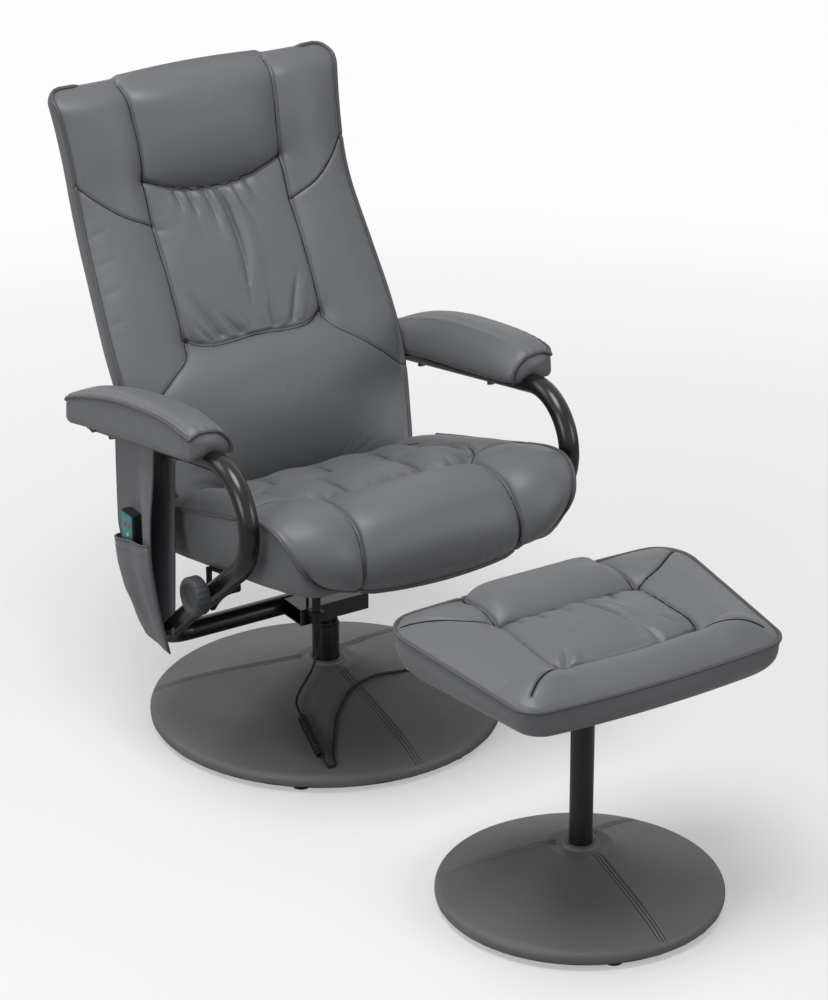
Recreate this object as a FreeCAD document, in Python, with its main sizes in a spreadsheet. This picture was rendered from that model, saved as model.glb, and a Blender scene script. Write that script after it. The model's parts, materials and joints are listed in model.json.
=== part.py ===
"""Massage recliner with footstool, in millimetres.

The chair faces -Y, +Z is up and +X is the sitter's left hand side.  The origin is on the floor in the
middle of the whole set.  Chair pieces are drawn about the chair's swivel axis and stool pieces about
the stool's column, and each piece is then placed at its axis.
"""
import FreeCAD, Part
import math
import os
import re
import Sketcher
from FreeCAD import Rotation, Vector

# Driving sizes, grouped by what they belong to.
SIZES = {
    # the two dished bases, feet and columns
    "base_radius": 285, "base_rim": 22, "base_rise": 96, "cover_thick": 1.5, "dish_thick": 2,
    "rim_bevel": 10, "rim_drop": 6, "base_plate_thick": 3, "foot_height": 10, "foot_radius": 14,
    "foot_inset": 26, "foot_top": 6, "land_radius": 48, "collar_width": 10, "collar_height": 5,
    "column_diameter": 44, "column_wall": 2.5, "column_top": 158, "flange_width": 22, "flange_thick": 4,
    "bush_lip": 3, "post_diameter": 30, "post_shoulder": 5, "shoulder_width": 5, "run_gap": 0.05,
    "retainer_thick": 3, "retainer_gap": 2, "bolt_head": 6, "bolt_head_radius": 8, "seat_gap": 0.3,
    # the welded frame
    "tube_diameter": 32, "tube_wall": 2, "arm_clear": 10, "arm_rear_y": 222, "arm_rear_z": 497,
    "arm_nose_y": -487, "arm_nose_z": 624, "arm_bend": 88, "frame_bend": 55, "cross_y": 30,
    "cross_z": 194.75, "box_length": 126, "box_depth": 60, "box_height": 28, "box_wall": 2.5,
    "cap_lip": 3, "cap_plug": 12,
    # armrests
    "pad_front_y": -150, "pad_front_z": 570, "pad_rear_y": 238, "pad_rear_z": 487, "pad_width": 84,
    "pad_side": 50, "pad_crown": 12, "pad_taper": 14, "arm_board_thick": 10, "arm_board_width": 44,
    "arm_board_inset": 12, "screw_radius": 3, "screw_head_radius": 6, "screw_head": 4, "screw_grip": 6,
    # recline pivot, seat hinge and clamp
    "pivot_y": 192, "pivot_radius": 6, "pivot_head": 5, "pivot_head_radius": 10, "pivot_depth": 14,
    "hinge_y": 115, "hinge_z": 345, "hinge_radius": 5, "hinge_lug": 11, "lug_thick": 4, "lug_spacing": 400,
    "recline": 28, "stud_y": -158, "stud_radius": 5, "stud_clear": 0.5, "stud_head": 7,
    "stud_head_radius": 11, "stud_collar_radius": 9, "rail_width": 11, "rail_thick": 4, "rail_flange": 3,
    "rail_flange_width": 28, "rail_leg": 12, "knob_radius": 31, "knob_thick": 24, "knob_boss": 8,
    "knob_boss_radius": 14, "knob_dish": 5, "knob_dish_radius": 20, "knob_round": 5, "knob_hole": 18,
    # backrest
    "back_foot_narrow": 40, "back_foot_rise": 190, "board_foot_narrow": 24,
    "back_narrow": 8, "back_length": 672, "back_straight": 410, "back_bend": 110, "tilt_low": 31.7,
    "tilt_high": 14.4, "back_below": 150, "back_set": 36, "back_crown": 28, "back_front": 30,
    "back_rear": 20, "back_board_thick": 12, "back_board_inset": 26, "channel_half": 128,
    "motor_radius": 24, "motor_thick": 16, "motor_spacing": 170,
    # seat
    "seat_width": 524, "seat_rear_y": 94, "seat_front_y": -357, "seat_low_z": 321, "seat_slope": 0.19,
    "seat_side": 90, "seat_rise": 0.1, "seat_crown": 24, "seat_board_thick": 12, "seat_board_inset": 24,
    "seat_board_length": 360, "seat_rear_lean": 42, "seat_motor_y": -60,
    # pocket and handset
    "pocket_front_y": -46, "pocket_rear_y": 118, "pocket_foot_y": 20, "pocket_low_z": 202, "mouth_z": 366,
    "pocket_cut": 60, "pocket_slant": 26, "pocket_over": 40, "pouch_edge": 2, "pouch_front_edge": 1,
    "leather_thick": 2, "pocket_bulge": 31, "pocket_hang": 0.3, "handset_width": 38, "handset_thick": 17,
    "handset_length": 112, "handset_y": 57, "handset_show": 42, "face_thick": 1.2, "face_edge": 3,
    "button_radius": 3.2, "button_proud": 1, "button_stem": 3, "button_row": 20, "button_drop": 16,
    "button_gap": 12,
    # footstool
    "stool_spacing": 717, "stool_base_radius": 214, "stool_base_rise": 89.5, "stool_column_diameter": 35,
    "stool_column_top": 384, "stool_rear": 142, "stool_front": 184, "stool_rear_width": 522,
    "stool_front_width": 440, "stool_side": 52, "stool_low_z": 392, "stool_fall": 22, "stool_crown": 20,
    "stool_board_thick": 12, "stool_board_inset": 30, "stool_plate_width": 130, "stool_plate_thick": 5,
    "stool_socket": 40, "stool_channel": 118,
    # power lead and what is on it
    "lead_diameter": 4.5, "curl_radius": 5, "curl_turns": 17, "coil_turns": 7,
    "coil_radius": 25, "coil_gap": 0.7, "plug_radius": 6, "plug_length": 50, "socket_length": 52,
    "clip_wall": 3, "adapter_length": 72, "adapter_width": 44, "adapter_height": 30, "pin_length": 18,
    "lead_lift": 0.7, "clip_x": -43, "clip_reach": 14, "tail_loop": 30, "pin_radius": 2.2, "pin_spacing": 19,
    "tie_width": 10, "tie_thick": 1.2, "loop_wire": 2.5,
}

# Sizes that follow from the driving ones.
DERIVED = {
    "seat_half": "seat_width / 2",
    "arm_x": "seat_half + arm_clear + tube_diameter / 2",
    "back_width": "seat_width - back_narrow * 2",
    "tube_r": "tube_diameter / 2",
    "top_slope": "(arm_nose_z - arm_rear_z) / (arm_rear_y - arm_nose_y)",
    "low_slope": "(arm_nose_z - cross_z) / (cross_y - arm_nose_y)",
    "pivot_z": "arm_rear_z + top_slope * (arm_rear_y - pivot_y)",
    "stud_z": "cross_z + low_slope * (cross_y - stud_y)",
    "back_tail": "back_length - back_straight - back_bend",
    "tilt_mid": "(tilt_low + tilt_high) / 2",
    "back_reach": "pivot_y + (back_straight - back_below) * sin(tilt_low * 1 deg)"
                  " + back_bend * sin(tilt_mid * 1 deg) + back_tail * sin(tilt_high * 1 deg)"
                  " - back_set * cos(tilt_low * 1 deg) + (back_front + back_rear) * cos(tilt_high * 1 deg)",
    "chair_y": "(stool_spacing + max(stool_front; stool_base_radius) - back_reach) / 2",
    "stool_y": "chair_y - stool_spacing",
    "dish_radius": "base_radius - cover_thick",
    "dish_rise": "base_rise - cover_thick",
    "stool_dish_radius": "stool_base_radius - cover_thick",
    "stool_dish_rise": "stool_base_rise - cover_thick",
    "column_r": "column_diameter / 2",
    "column_foot": "dish_rise - dish_thick - flange_thick",
    "post_r": "post_diameter / 2",
    "box_low": "cross_z - box_height / 2",
    "box_top": "cross_z + box_height / 2",
    "stool_column_r": "stool_column_diameter / 2",
    "rail_x": "seat_half - rail_thick",
    "lug_x": "lug_spacing / 2",
}

document = FreeCAD.newDocument("massage_recliner")
sheet = document.addObject("Spreadsheet::Sheet", "Sizes")
for row, (alias, value) in enumerate(SIZES.items(), start=1):
    sheet.set(f"A{row}", alias)
    sheet.set(f"B{row}", str(value))
    sheet.setAlias(f"B{row}", alias)
document.recompute()
derived = document.addObject("App::VarSet", "Derived")


def bound(formula):
    """The formula with each name pointing at its cell or its derived size."""
    def cell(match):
        name = match[0]
        if name in SIZES:
            return "Sizes." + name
        return "Derived." + name if name in DERIVED else name
    return re.sub(r"[a-z_][a-z0-9_]*", cell, formula)


for name, formula in DERIVED.items():
    derived.addProperty("App::PropertyFloat", name, "Derived")
    derived.setExpression(name, bound(formula))
document.recompute()


class Numbers:
    """The same sizes as plain numbers, for shapes made point by point."""


size = Numbers()
for name in SIZES:
    setattr(size, name, float(sheet.get(name)))
for name in DERIVED:
    setattr(size, name, getattr(derived, name))

# The lead's route about the chair's axis, as seen in the photo: on the base's cover, then past its rim.
CURL_START = (-112, -108)
CURL_END = (-140, -200)
LEAD_ROUTE = [(-144, -214), (-126, -228), (-114, -205), (-68, -141), (-14, -98), (43, -80), (89, -77),
              (141, -62), (240, -53)]
RIM_ROUTE = [(278, -50, 33), (304, -55, 15), (322, -70, 4.5)]
COIL_SPOT = (296, -130)
ADAPTER_SPOT = (308, -234)

CHAIR = ("0", "chair_y", "0")
STOOL = ("0", "stool_y", "0")
UPRIGHT = Rotation()
ALONG_X = Rotation(Vector(0, 1, 0), 90)
AGAINST_X = Rotation(Vector(0, 1, 0), -90)
X_AXIS = Vector(1, 0, 0)
nodes = []


def place(item, spot, turn=UPRIGHT):
    """Put an object at a spot given as three formulas."""
    item.Placement = FreeCAD.Placement(Vector(), turn)
    for axis, formula in zip("xyz", spot):
        item.setExpression("Placement.Base." + axis, bound(formula))


def keep(item):
    """List an object as a finished sub-part."""
    nodes.append(item)
    return item


def outline_sketch(body, role, outline):
    """A closed outline whose corners are tied to the sizes by their formulas."""
    sketch = body.newObject("Sketcher::SketchObject", body.Name + "_outline")
    plane = next(item for item in body.Origin.OriginFeatures if item.Role == role)
    sketch.AttachmentSupport = [(plane, "")]
    sketch.MapMode = "FlatFace"
    spots = [Vector(*(derived.evalExpression(bound(part)) for part in corner), 0) for corner in outline]
    for here, there in zip(spots, spots[1:] + spots[:1]):
        sketch.addGeometry(Part.LineSegment(here, there), False)
    for index, corner in enumerate(outline):
        after = (index + 1) % len(outline)
        sketch.addConstraint(Sketcher.Constraint("Coincident", index, 2, after, 1))
        for kind, part, value in zip(("DistanceX", "DistanceY"), corner, spots[index]):
            tie = sketch.addConstraint(Sketcher.Constraint(kind, -1, 1, index, 1, value))
            sketch.setExpression(f"Constraints[{tie}]", bound(part))
    return sketch


def turned(label, outline, spot=CHAIR, turn=UPRIGHT):
    """A round piece: an outline of radius and height, turned about its axis."""
    body = document.addObject("PartDesign::Body", label)
    sketch = outline_sketch(body, "XZ_Plane", outline)
    feature = body.newObject("PartDesign::Revolution", label + "_turned")
    feature.Profile = sketch
    feature.ReferenceAxis = (sketch, ["V_Axis"])
    feature.Angle = 360
    sketch.Visibility = False
    place(body, spot, turn)
    return keep(body)


def plate(label, outline, thick, spot):
    """A flat piece: an outline of Y and Z, thickened along +X."""
    body = document.addObject("PartDesign::Body", label)
    sketch = outline_sketch(body, "YZ_Plane", outline)
    feature = body.newObject("PartDesign::Pad", label + "_plate")
    feature.Profile = sketch
    feature.setExpression("Length", bound(thick))
    place(body, spot)
    return keep(body)


def primitive(kind, name, spot, turn=UPRIGHT, **formulas):
    """A box, cylinder or cone whose sizes are tied to formulas."""
    item = document.addObject("Part::" + kind, name)
    for prop, formula in formulas.items():
        item.setExpression(prop, bound(formula))
    place(item, spot, turn)
    return item


def boolean(kind, label, base, tool):
    """Base and tool joined or cut, as one object."""
    item = document.addObject("Part::" + kind, label)
    item.Base = base
    item.Tool = tool
    return item


def shaped(label, shape, axis_y):
    """A piece whose shape is worked out below, placed at its axis."""
    item = document.addObject("Part::Feature", label)
    item.Shape = shape
    item.Placement = FreeCAD.Placement(Vector(0, axis_y, 0), UPRIGHT).multiply(shape.Placement)
    return keep(item)


def chair_piece(label, shape):
    return shaped(label, shape, size.chair_y)


def stool_piece(label, shape):
    return shaped(label, shape, size.stool_y)


def route_wire(points, radii):
    """Straight runs joined by tangent arcs, one radius for each inner point."""
    edges = []
    start = points[0]
    for before, corner, after, radius in zip(points, points[1:], points[2:], radii):
        arrive = (corner - before).normalize()
        leave = (after - corner).normalize()
        half_turn = arrive.getAngle(leave) / 2
        trim = radius * math.tan(half_turn)
        entry = corner - arrive * trim
        finish = corner + leave * trim
        toward = (leave - arrive).normalize()
        middle = corner + toward * (radius / math.cos(half_turn) - radius)
        edges.append(Part.LineSegment(start, entry).toShape())
        edges.append(Part.Arc(entry, middle, finish).toShape())
        start = finish
    edges.append(Part.LineSegment(start, points[-1]).toShape())
    return Part.Wire(edges)


def swept(wire, radius):
    """A round rod along a wire."""
    start = wire.Edges[0]
    ring = Part.Wire(Part.makeCircle(radius, start.valueAt(start.FirstParameter),
                                     start.tangentAt(start.FirstParameter)))
    return wire.makePipeShell([ring], True, False)


def cord_radii(points):
    """Each bend of a cord as wide as its two runs allow."""
    run_share = 0.45
    radii = []
    for before, corner, after in zip(points, points[1:], points[2:]):
        turn = (corner - before).getAngle(after - corner)
        run = min((corner - before).Length, (after - corner).Length)
        radii.append(run_share * run / math.tan(turn / 2))
    return radii


def cord(label, points, radius):
    """A free cord's tube, with its bends and its volume printed."""
    radii = cord_radii(points)
    wire = route_wire(points, radii)
    rod = swept(wire, radius)
    wanted = math.pi * radius ** 2 * wire.Length
    print(label, "length", round(wire.Length, 1), "least bend", round(min(radii), 1),
          "volume share", round(rod.Volume / wanted, 4))
    return rod


def ring_wire(origin, side, up, marks):
    """A closed outline of lines and arcs: a mark with a third item is the middle of an arc."""
    spots = [origin + side * mark[0] + up * mark[1] for mark in marks]
    edges = []
    index = 0
    while index < len(marks):
        after = (index + 1) % len(marks)
        if len(marks[after]) > 2:
            far = (index + 2) % len(marks)
            edges.append(Part.Arc(spots[index], spots[after], spots[far]).toShape())
            index += 2
        else:
            edges.append(Part.LineSegment(spots[index], spots[after]).toShape())
            index += 1
    return Part.Wire(edges)


def loft(rings):
    """A smooth closed solid through outlines of the same make-up."""
    shape = Part.makeLoft(rings, True, False)
    if shape.Volume < 0:
        shape.reverse()
    return shape


def channelled(half, channel, edge, bolster, valley, apex, low, low_half):
    """A cushion's outline: two bolsters and a middle panel that meet in sewn channels."""
    between = (half + channel) / 2
    return [(-half, edge), (-between, bolster, True), (-channel, valley), (0, apex, True),
            (channel, valley), (between, bolster, True), (half, edge), (low_half, low), (-low_half, low)]


def mirrored(shape):
    return shape.mirror(Vector(), X_AXIS)


def cylinder_x(radius, low_x, high_x, y, z):
    """A round bar along X."""
    return Part.makeCylinder(radius, high_x - low_x, Vector(low_x, y, z), X_AXIS)


def slab(low, high):
    """A box between two corners."""
    reach = high - low
    return Part.makeBox(reach.x, reach.y, reach.z, low)


def prism_x(points, low_x, high_x):
    """An outline of (y, z) points, thickened along X."""
    spots = [Vector(low_x, y, z) for y, z in points]
    face = Part.Face(Part.makePolygon(spots + spots[:1]))
    return face.extrude(Vector(high_x - low_x, 0, 0))


def prism_y(points, low_y, high_y):
    """An outline of (x, z) points, thickened along Y."""
    spots = [Vector(x, low_y, z) for x, z in points]
    face = Part.Face(Part.makePolygon(spots + spots[:1]))
    return face.extrude(Vector(0, high_y - low_y, 0))


def dished_base(prefix, radius, rise, hole, spot):
    """A pressed dish, its leatherette cover and the plate that closes it below."""
    rim = "base_rim"
    top = [(f"{radius} - rim_bevel", f"{rim} + rim_drop"), ("land_radius", rise), (hole, rise)]
    under = [(hole, f"{rise} - dish_thick"), ("land_radius", f"{rise} - dish_thick"),
             (f"{radius} - rim_bevel - dish_thick", f"{rim} + rim_drop - dish_thick"),
             (f"{radius} - dish_thick", rim), (f"{radius} - dish_thick", "foot_height")]
    turned(prefix + "_dish", [(radius, "foot_height"), (radius, rim)] + top + under, spot)
    outer = [(f"{radius} + cover_thick", "foot_height"), (f"{radius} + cover_thick", rim),
             (f"{radius} - rim_bevel + cover_thick", f"{rim} + rim_drop + cover_thick"),
             ("land_radius", f"{rise} + cover_thick"),
             (f"{hole} + collar_width", f"{rise} + cover_thick"),
             (f"{hole} + collar_width", f"{rise} + collar_height"), (hole, f"{rise} + collar_height")]
    turned(prefix + "_cover", outer + [(hole, rise)] + top[1::-1] + [(radius, rim), (radius, "foot_height")],
           spot)
    turned(prefix + "_plate", [("0", "foot_height"), (f"{radius} - dish_thick", "foot_height"),
                               (f"{radius} - dish_thick", "foot_height + base_plate_thick"),
                               ("0", "foot_height + base_plate_thick")], spot)


def round_feet(label, radius, count, first_angle, axis_y):
    """Small glides under the base plate."""
    feet = []
    for index in range(count):
        angle = math.radians(first_angle + index * 360 / count)
        reach = radius - size.foot_inset
        spot = Vector(reach * math.cos(angle), reach * math.sin(angle), 0)
        wide = Part.makeCylinder(size.foot_radius, size.foot_height - size.foot_top, spot)
        neck = Part.makeCone(size.foot_radius, size.foot_radius - size.foot_top / 2, size.foot_top,
                             spot + Vector(0, 0, size.foot_height - size.foot_top))
        feet.append(wide.fuse(neck))
    shaped(label, Part.makeCompound(feet), axis_y)


def chair_base():
    dished_base("chair_base", "dish_radius", "dish_rise", "column_r", CHAIR)
    round_feet("chair_base_feet", size.base_radius, 6, -70, size.chair_y)
    turned("chair_column", [("column_r - column_wall", "column_foot"), ("column_r + flange_width", "column_foot"),
                            ("column_r + flange_width", "dish_rise - dish_thick"),
                            ("column_r", "dish_rise - dish_thick"), ("column_r", "column_top"),
                            ("column_r - column_wall", "column_top")])
    turned("column_bush", [("post_r + run_gap", "column_foot"), ("column_r - column_wall", "column_foot"),
                           ("column_r - column_wall", "column_top"), ("column_r", "column_top"),
                           ("column_r", "column_top + bush_lip"), ("post_r + run_gap", "column_top + bush_lip")])


def swivel():
    post_foot = "column_foot - retainer_gap"
    turned("swivel_post", [("0", post_foot), ("post_r", post_foot), ("post_r", "column_top + bush_lip"),
                           ("post_r + shoulder_width", "column_top + bush_lip"),
                           ("post_r + shoulder_width", "column_top + bush_lip + post_shoulder"),
                           ("post_r", "column_top + bush_lip + post_shoulder"), ("post_r", "box_low"),
                           ("0", "box_low")])
    turned("post_retainer", [("0", f"{post_foot} - retainer_thick - bolt_head"),
                             ("bolt_head_radius", f"{post_foot} - retainer_thick - bolt_head"),
                             ("bolt_head_radius", f"{post_foot} - retainer_thick"),
                             ("column_r", f"{post_foot} - retainer_thick"), ("column_r", post_foot),
                             ("0", post_foot)])
    outer = primitive("Box", "box_outer", ("-box_length / 2", "chair_y - box_depth / 2", "box_low"),
                      Length="box_length", Width="box_depth", Height="box_height")
    inner = primitive("Box", "box_inner", ("-box_length", "chair_y - box_depth / 2 + box_wall",
                                           "box_low + box_wall"),
                      Length="box_length * 2", Width="box_depth - box_wall * 2",
                      Height="box_height - box_wall * 2")
    tube = primitive("Cylinder", "box_cope", ("-box_length", "chair_y + cross_y", "cross_z"), ALONG_X,
                     Radius="tube_r", Height="box_length * 2")
    channel = boolean("Cut", "box_channel", outer, inner)
    keep(boolean("Cut", "frame_box", channel, tube))


def arm_wire():
    """The middle line of the left arm's bent tube, from its rear end to the middle of the cross run."""
    arm = -size.arm_x
    points = [Vector(arm, size.arm_rear_y, size.arm_rear_z), Vector(arm, size.arm_nose_y, size.arm_nose_z),
              Vector(arm, size.cross_y, size.cross_z), Vector(0, size.cross_y, size.cross_z)]
    return route_wire(points, [size.arm_bend, size.frame_bend])


def arm_screw_spots():
    """Where the two screws go up through the arm tube, on its middle line."""
    front_share, rear_share = 0.3, 0.85
    spots = []
    for share in (front_share, rear_share):
        y = size.pad_front_y + share * (size.arm_rear_y - size.pad_front_y)
        spots.append(Vector(-size.arm_x, y, size.arm_rear_z + size.top_slope * (size.arm_rear_y - y)))
    return spots


def pocket_edges():
    """Front and rear ends of the pocket's loop over the arm tube."""
    lean_share = 0.6
    return size.pocket_front_y + (size.pocket_foot_y - size.pocket_front_y) * lean_share, size.pocket_rear_y


def arm_tubes_and_pads():
    wire = arm_wire()
    rod = swept(wire, size.tube_r)
    tube = rod.cut(swept(wire, size.tube_r - size.tube_wall))
    lean = math.atan(size.top_slope)
    up = Vector(0, math.sin(lean), math.cos(lean))
    screws = []
    for spot in arm_screw_spots():
        head_low = spot - up * (size.tube_r + size.screw_head)
        head = Part.makeCylinder(size.screw_head_radius, size.screw_head, head_low, up)
        shank = Part.makeCylinder(size.screw_radius, size.tube_diameter + size.screw_head + size.screw_grip,
                                  head_low, up)
        screws.append(head.fuse(shank))
        bore_low = spot - up * size.tube_diameter
        tube = tube.cut(Part.makeCylinder(size.screw_radius, size.tube_diameter * 2, bore_low, up))
        tube = tube.cut(head)
    pivot = cylinder_x(size.pivot_radius + size.run_gap, -size.arm_x - size.tube_diameter,
                       -size.arm_x + size.tube_diameter, size.pivot_y, size.pivot_z)
    stud = cylinder_x(size.stud_radius, -size.arm_x - size.tube_diameter, -size.arm_x + size.tube_diameter,
                      size.stud_y, size.stud_z)
    tube = tube.cut(pivot).cut(stud)
    chair_piece("left_arm_tube", tube)
    chair_piece("right_arm_tube", mirrored(tube))

    rear = wire.Edges[0].valueAt(wire.Edges[0].FirstParameter)
    inward = wire.Edges[0].tangentAt(wire.Edges[0].FirstParameter)
    cap = Part.makeCylinder(size.tube_r, size.cap_lip, rear - inward * size.cap_lip, inward)
    cap = cap.fuse(Part.makeCylinder(size.tube_r - size.tube_wall, size.cap_plug, rear, inward))
    chair_piece("tube_end_caps", Part.makeCompound([cap, mirrored(cap)]))

    half = size.arm_board_width / 2
    front_y = size.pad_front_y + size.arm_board_inset
    top_z = {}
    for y in (front_y, size.arm_rear_y):
        axis_z = size.arm_rear_z + size.top_slope * (size.arm_rear_y - y)
        top_z[y] = axis_z + size.tube_r / math.cos(lean)
    board_rise = size.arm_board_thick / math.cos(lean)
    board = prism_x([(front_y, top_z[front_y]), (size.arm_rear_y, top_z[size.arm_rear_y]),
                     (size.arm_rear_y, top_z[size.arm_rear_y] + board_rise),
                     (front_y, top_z[front_y] + board_rise)], -size.arm_x - half, -size.arm_x + half)
    for screw in screws:
        board = board.cut(screw)
    chair_piece("right_arm_board", mirrored(board))
    front_edge, rear_edge = pocket_edges()
    saddle_room = swept(wire, size.tube_r + size.pocket_hang + size.leather_thick)
    saddle_room = saddle_room.common(slab(Vector(-size.arm_x * 2, front_edge, 0),
                                          Vector(0, rear_edge, size.pad_front_z + size.pad_side)))
    chair_piece("left_arm_board", board.cut(saddle_room))
    chair_piece("arm_screws", Part.makeCompound(screws + [mirrored(screw) for screw in screws]))

    # Share along the pad, share of its full section, and share of the inner taper.
    pad_shares = [(0, 0.72, 0), (0.03, 0.9, 0), (0.1, 1, 0), (0.35, 1, 0.2), (0.65, 1, 0.8), (0.92, 1, 1),
                  (0.98, 0.9, 1), (1, 0.74, 1)]
    outer_x = -size.arm_x - size.pad_width / 2
    rings = []
    for along, full, taper in pad_shares:
        y = size.pad_front_y + along * (size.pad_rear_y - size.pad_front_y)
        low = size.pad_front_z + along * (size.pad_rear_z - size.pad_front_z)
        side = size.pad_side * full
        inner = size.pad_width - size.pad_taper * taper
        shoulder_share, roll_share, crown_share = 0.86, 0.7, 0.5
        marks = [(0, 0), (0, side), (inner * crown_share, side + size.pad_crown * full, True),
                 (inner * shoulder_share, side * shoulder_share), (inner, side * roll_share / 2, True),
                 (inner * shoulder_share + inner * (1 - shoulder_share) / 2, 0)]
        rings.append(ring_wire(Vector(outer_x, y, low), X_AXIS, Vector(0, 0, 1), marks))
    pad = loft(rings)
    room_end = size.arm_rear_y + size.cap_lip + size.tube_r * size.top_slope + 2 * size.seat_gap
    hollow = prism_x([(front_y, top_z[front_y] - size.tube_diameter),
                      (room_end, top_z[size.arm_rear_y] - size.tube_diameter * 2),
                      (room_end, top_z[size.arm_rear_y] + board_rise),
                      (size.arm_rear_y, top_z[size.arm_rear_y] + board_rise),
                      (front_y, top_z[front_y] + board_rise)], -size.arm_x - half, -size.arm_x + half)
    bolt_room = cylinder_x(size.pivot_head_radius + 2 * size.seat_gap, -size.arm_x - size.pad_width,
                           -size.arm_x + size.pad_width, size.pivot_y, size.pivot_z)
    pad = pad.cut(hollow).cut(swept(wire, size.tube_r + size.seat_gap)).cut(bolt_room)
    pad = max(pad.Solids, key=lambda solid: solid.Volume)
    chair_piece("left_arm_pad", pad)
    chair_piece("right_arm_pad", mirrored(pad))


def hinge_arc():
    """The arc that the seat's guide rails need: its centre and radius, from the pivot and the hinge."""
    reach = Vector(0, size.hinge_y - size.pivot_y, size.hinge_z - size.pivot_z)
    return Vector(0, size.stud_y, size.stud_z) + reach, reach.Length


def arc_band(centre, radius, half_width, start, finish, low_x, high_x):
    """A band about an arc in the YZ plane, with round ends, thickened along X."""
    def spot(angle, reach):
        return Vector(low_x, centre.y + reach * math.cos(angle), centre.z + reach * math.sin(angle))
    middle = (start + finish) / 2
    wide, narrow = radius + half_width, radius - half_width
    end_share = half_width / radius
    edges = [Part.Arc(spot(start, wide), spot(middle, wide), spot(finish, wide)).toShape(),
             Part.Arc(spot(finish, wide), spot(finish - end_share, radius), spot(finish, narrow)).toShape(),
             Part.Arc(spot(finish, narrow), spot(middle, narrow), spot(start, narrow)).toShape(),
             Part.Arc(spot(start, narrow), spot(start + end_share, radius), spot(start, wide)).toShape()]
    return Part.Face(Part.Wire(edges)).extrude(Vector(high_x - low_x, 0, 0))


def seat_low(y):
    """Height of the seat's flat underside."""
    return size.seat_low_z + size.seat_slope * (size.seat_rear_y - y)


def clamp():
    """Guide pins on the arm tubes, and the clamp knob on the left one."""
    inner_tube = -size.arm_x + size.tube_r
    shank_end = -size.arm_x - size.tube_r - size.knob_hole + size.seat_gap
    shank = cylinder_x(size.stud_radius, shank_end, -size.rail_x + size.seat_gap, size.stud_y, size.stud_z)
    collar = cylinder_x(size.stud_collar_radius, inner_tube + size.seat_gap, -size.seat_half - size.seat_gap,
                        size.stud_y, size.stud_z)
    head = cylinder_x(size.stud_head_radius, -size.rail_x + size.seat_gap,
                      -size.rail_x + size.seat_gap + size.stud_head, size.stud_y, size.stud_z)
    chair_piece("clamp_bolt", shank.fuse([collar, head]))
    short = cylinder_x(size.stud_radius, -size.arm_x - size.tube_r, -size.rail_x + size.seat_gap, size.stud_y,
                       size.stud_z)
    chair_piece("guide_pin", mirrored(short.fuse([collar, head])))
    bore = "stud_radius + run_gap"
    full = "knob_boss + knob_thick"
    turned("tension_knob", [(bore, "0"), ("knob_boss_radius", "0"), ("knob_boss_radius", "knob_boss"),
                            ("knob_radius - knob_round", "knob_boss"), ("knob_radius", "knob_boss + knob_round"),
                            ("knob_radius", f"{full} - knob_round"), ("knob_radius - knob_round", full),
                            ("knob_dish_radius", full), ("knob_dish_radius - knob_dish", f"{full} - knob_dish"),
                            ("0", f"{full} - knob_dish"), ("0", "knob_hole"), (bore, "knob_hole")],
           ("-arm_x - tube_r - seat_gap", "chair_y + stud_y", "stud_z"), AGAINST_X)


def rail_top(y):
    """Height of the guide rails' upper faces, just under the seat."""
    return seat_low(y) - size.seat_gap


def guide_rails():
    """Slotted plates under the seat's sides, whose arc slots run over the guide pins."""
    centre, radius = hinge_arc()
    start = math.atan2(size.stud_z - centre.z, size.stud_y - centre.y)
    finish = start - math.radians(size.recline)
    low_x, high_x = -size.seat_half, -size.rail_x
    rail = arc_band(centre, radius, size.rail_width, start, finish, low_x, high_x)
    tail_y = centre.y + radius * math.cos(finish)
    tail_z = centre.z + radius * math.sin(finish)
    rear_leg = prism_x([(tail_y, tail_z), (tail_y + size.rail_leg, tail_z),
                        (tail_y + size.rail_leg, rail_top(tail_y + size.rail_leg)), (tail_y, rail_top(tail_y))],
                       low_x, high_x)
    nose_y = size.stud_y - size.rail_width * 2
    front_leg = prism_x([(nose_y, size.stud_z), (size.stud_y, size.stud_z), (size.stud_y, rail_top(size.stud_y)),
                         (nose_y, rail_top(nose_y))], low_x, high_x)
    flange = prism_x([(nose_y, rail_top(nose_y) - size.rail_flange),
                      (tail_y + size.rail_leg, rail_top(tail_y + size.rail_leg) - size.rail_flange),
                      (tail_y + size.rail_leg, rail_top(tail_y + size.rail_leg)), (nose_y, rail_top(nose_y))],
                     low_x, low_x + size.rail_flange_width)
    slot = arc_band(centre, radius, size.stud_radius + size.stud_clear, start, finish,
                    low_x - size.rail_thick, high_x + size.rail_thick)
    solid = rail.fuse([rear_leg, front_leg, flange]).cut(slot)
    chair_piece("left_guide_rail", solid)
    chair_piece("right_guide_rail", mirrored(solid))


def back_station(along):
    """A place on the backrest's front edge line: point, way up and way forward."""
    low, high = math.radians(size.tilt_low), math.radians(size.tilt_high)
    point = Vector(0, size.pivot_y, size.pivot_z)
    point += Vector(0, -math.cos(low), math.sin(low)) * size.back_set
    point -= Vector(0, math.sin(low), math.cos(low)) * size.back_below
    straight = min(along, size.back_straight)
    point += Vector(0, math.sin(low), math.cos(low)) * straight
    bent = min(max(along - size.back_straight, 0), size.back_bend)
    radius = size.back_bend / (low - high)
    tilt = low - bent / radius
    point += Vector(0, math.cos(tilt) - math.cos(low), math.sin(low) - math.sin(tilt)) * radius
    tail = max(along - size.back_straight - size.back_bend, 0)
    point += Vector(0, math.sin(tilt), math.cos(tilt)) * tail
    return point, Vector(0, -math.cos(tilt), math.sin(tilt))


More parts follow.
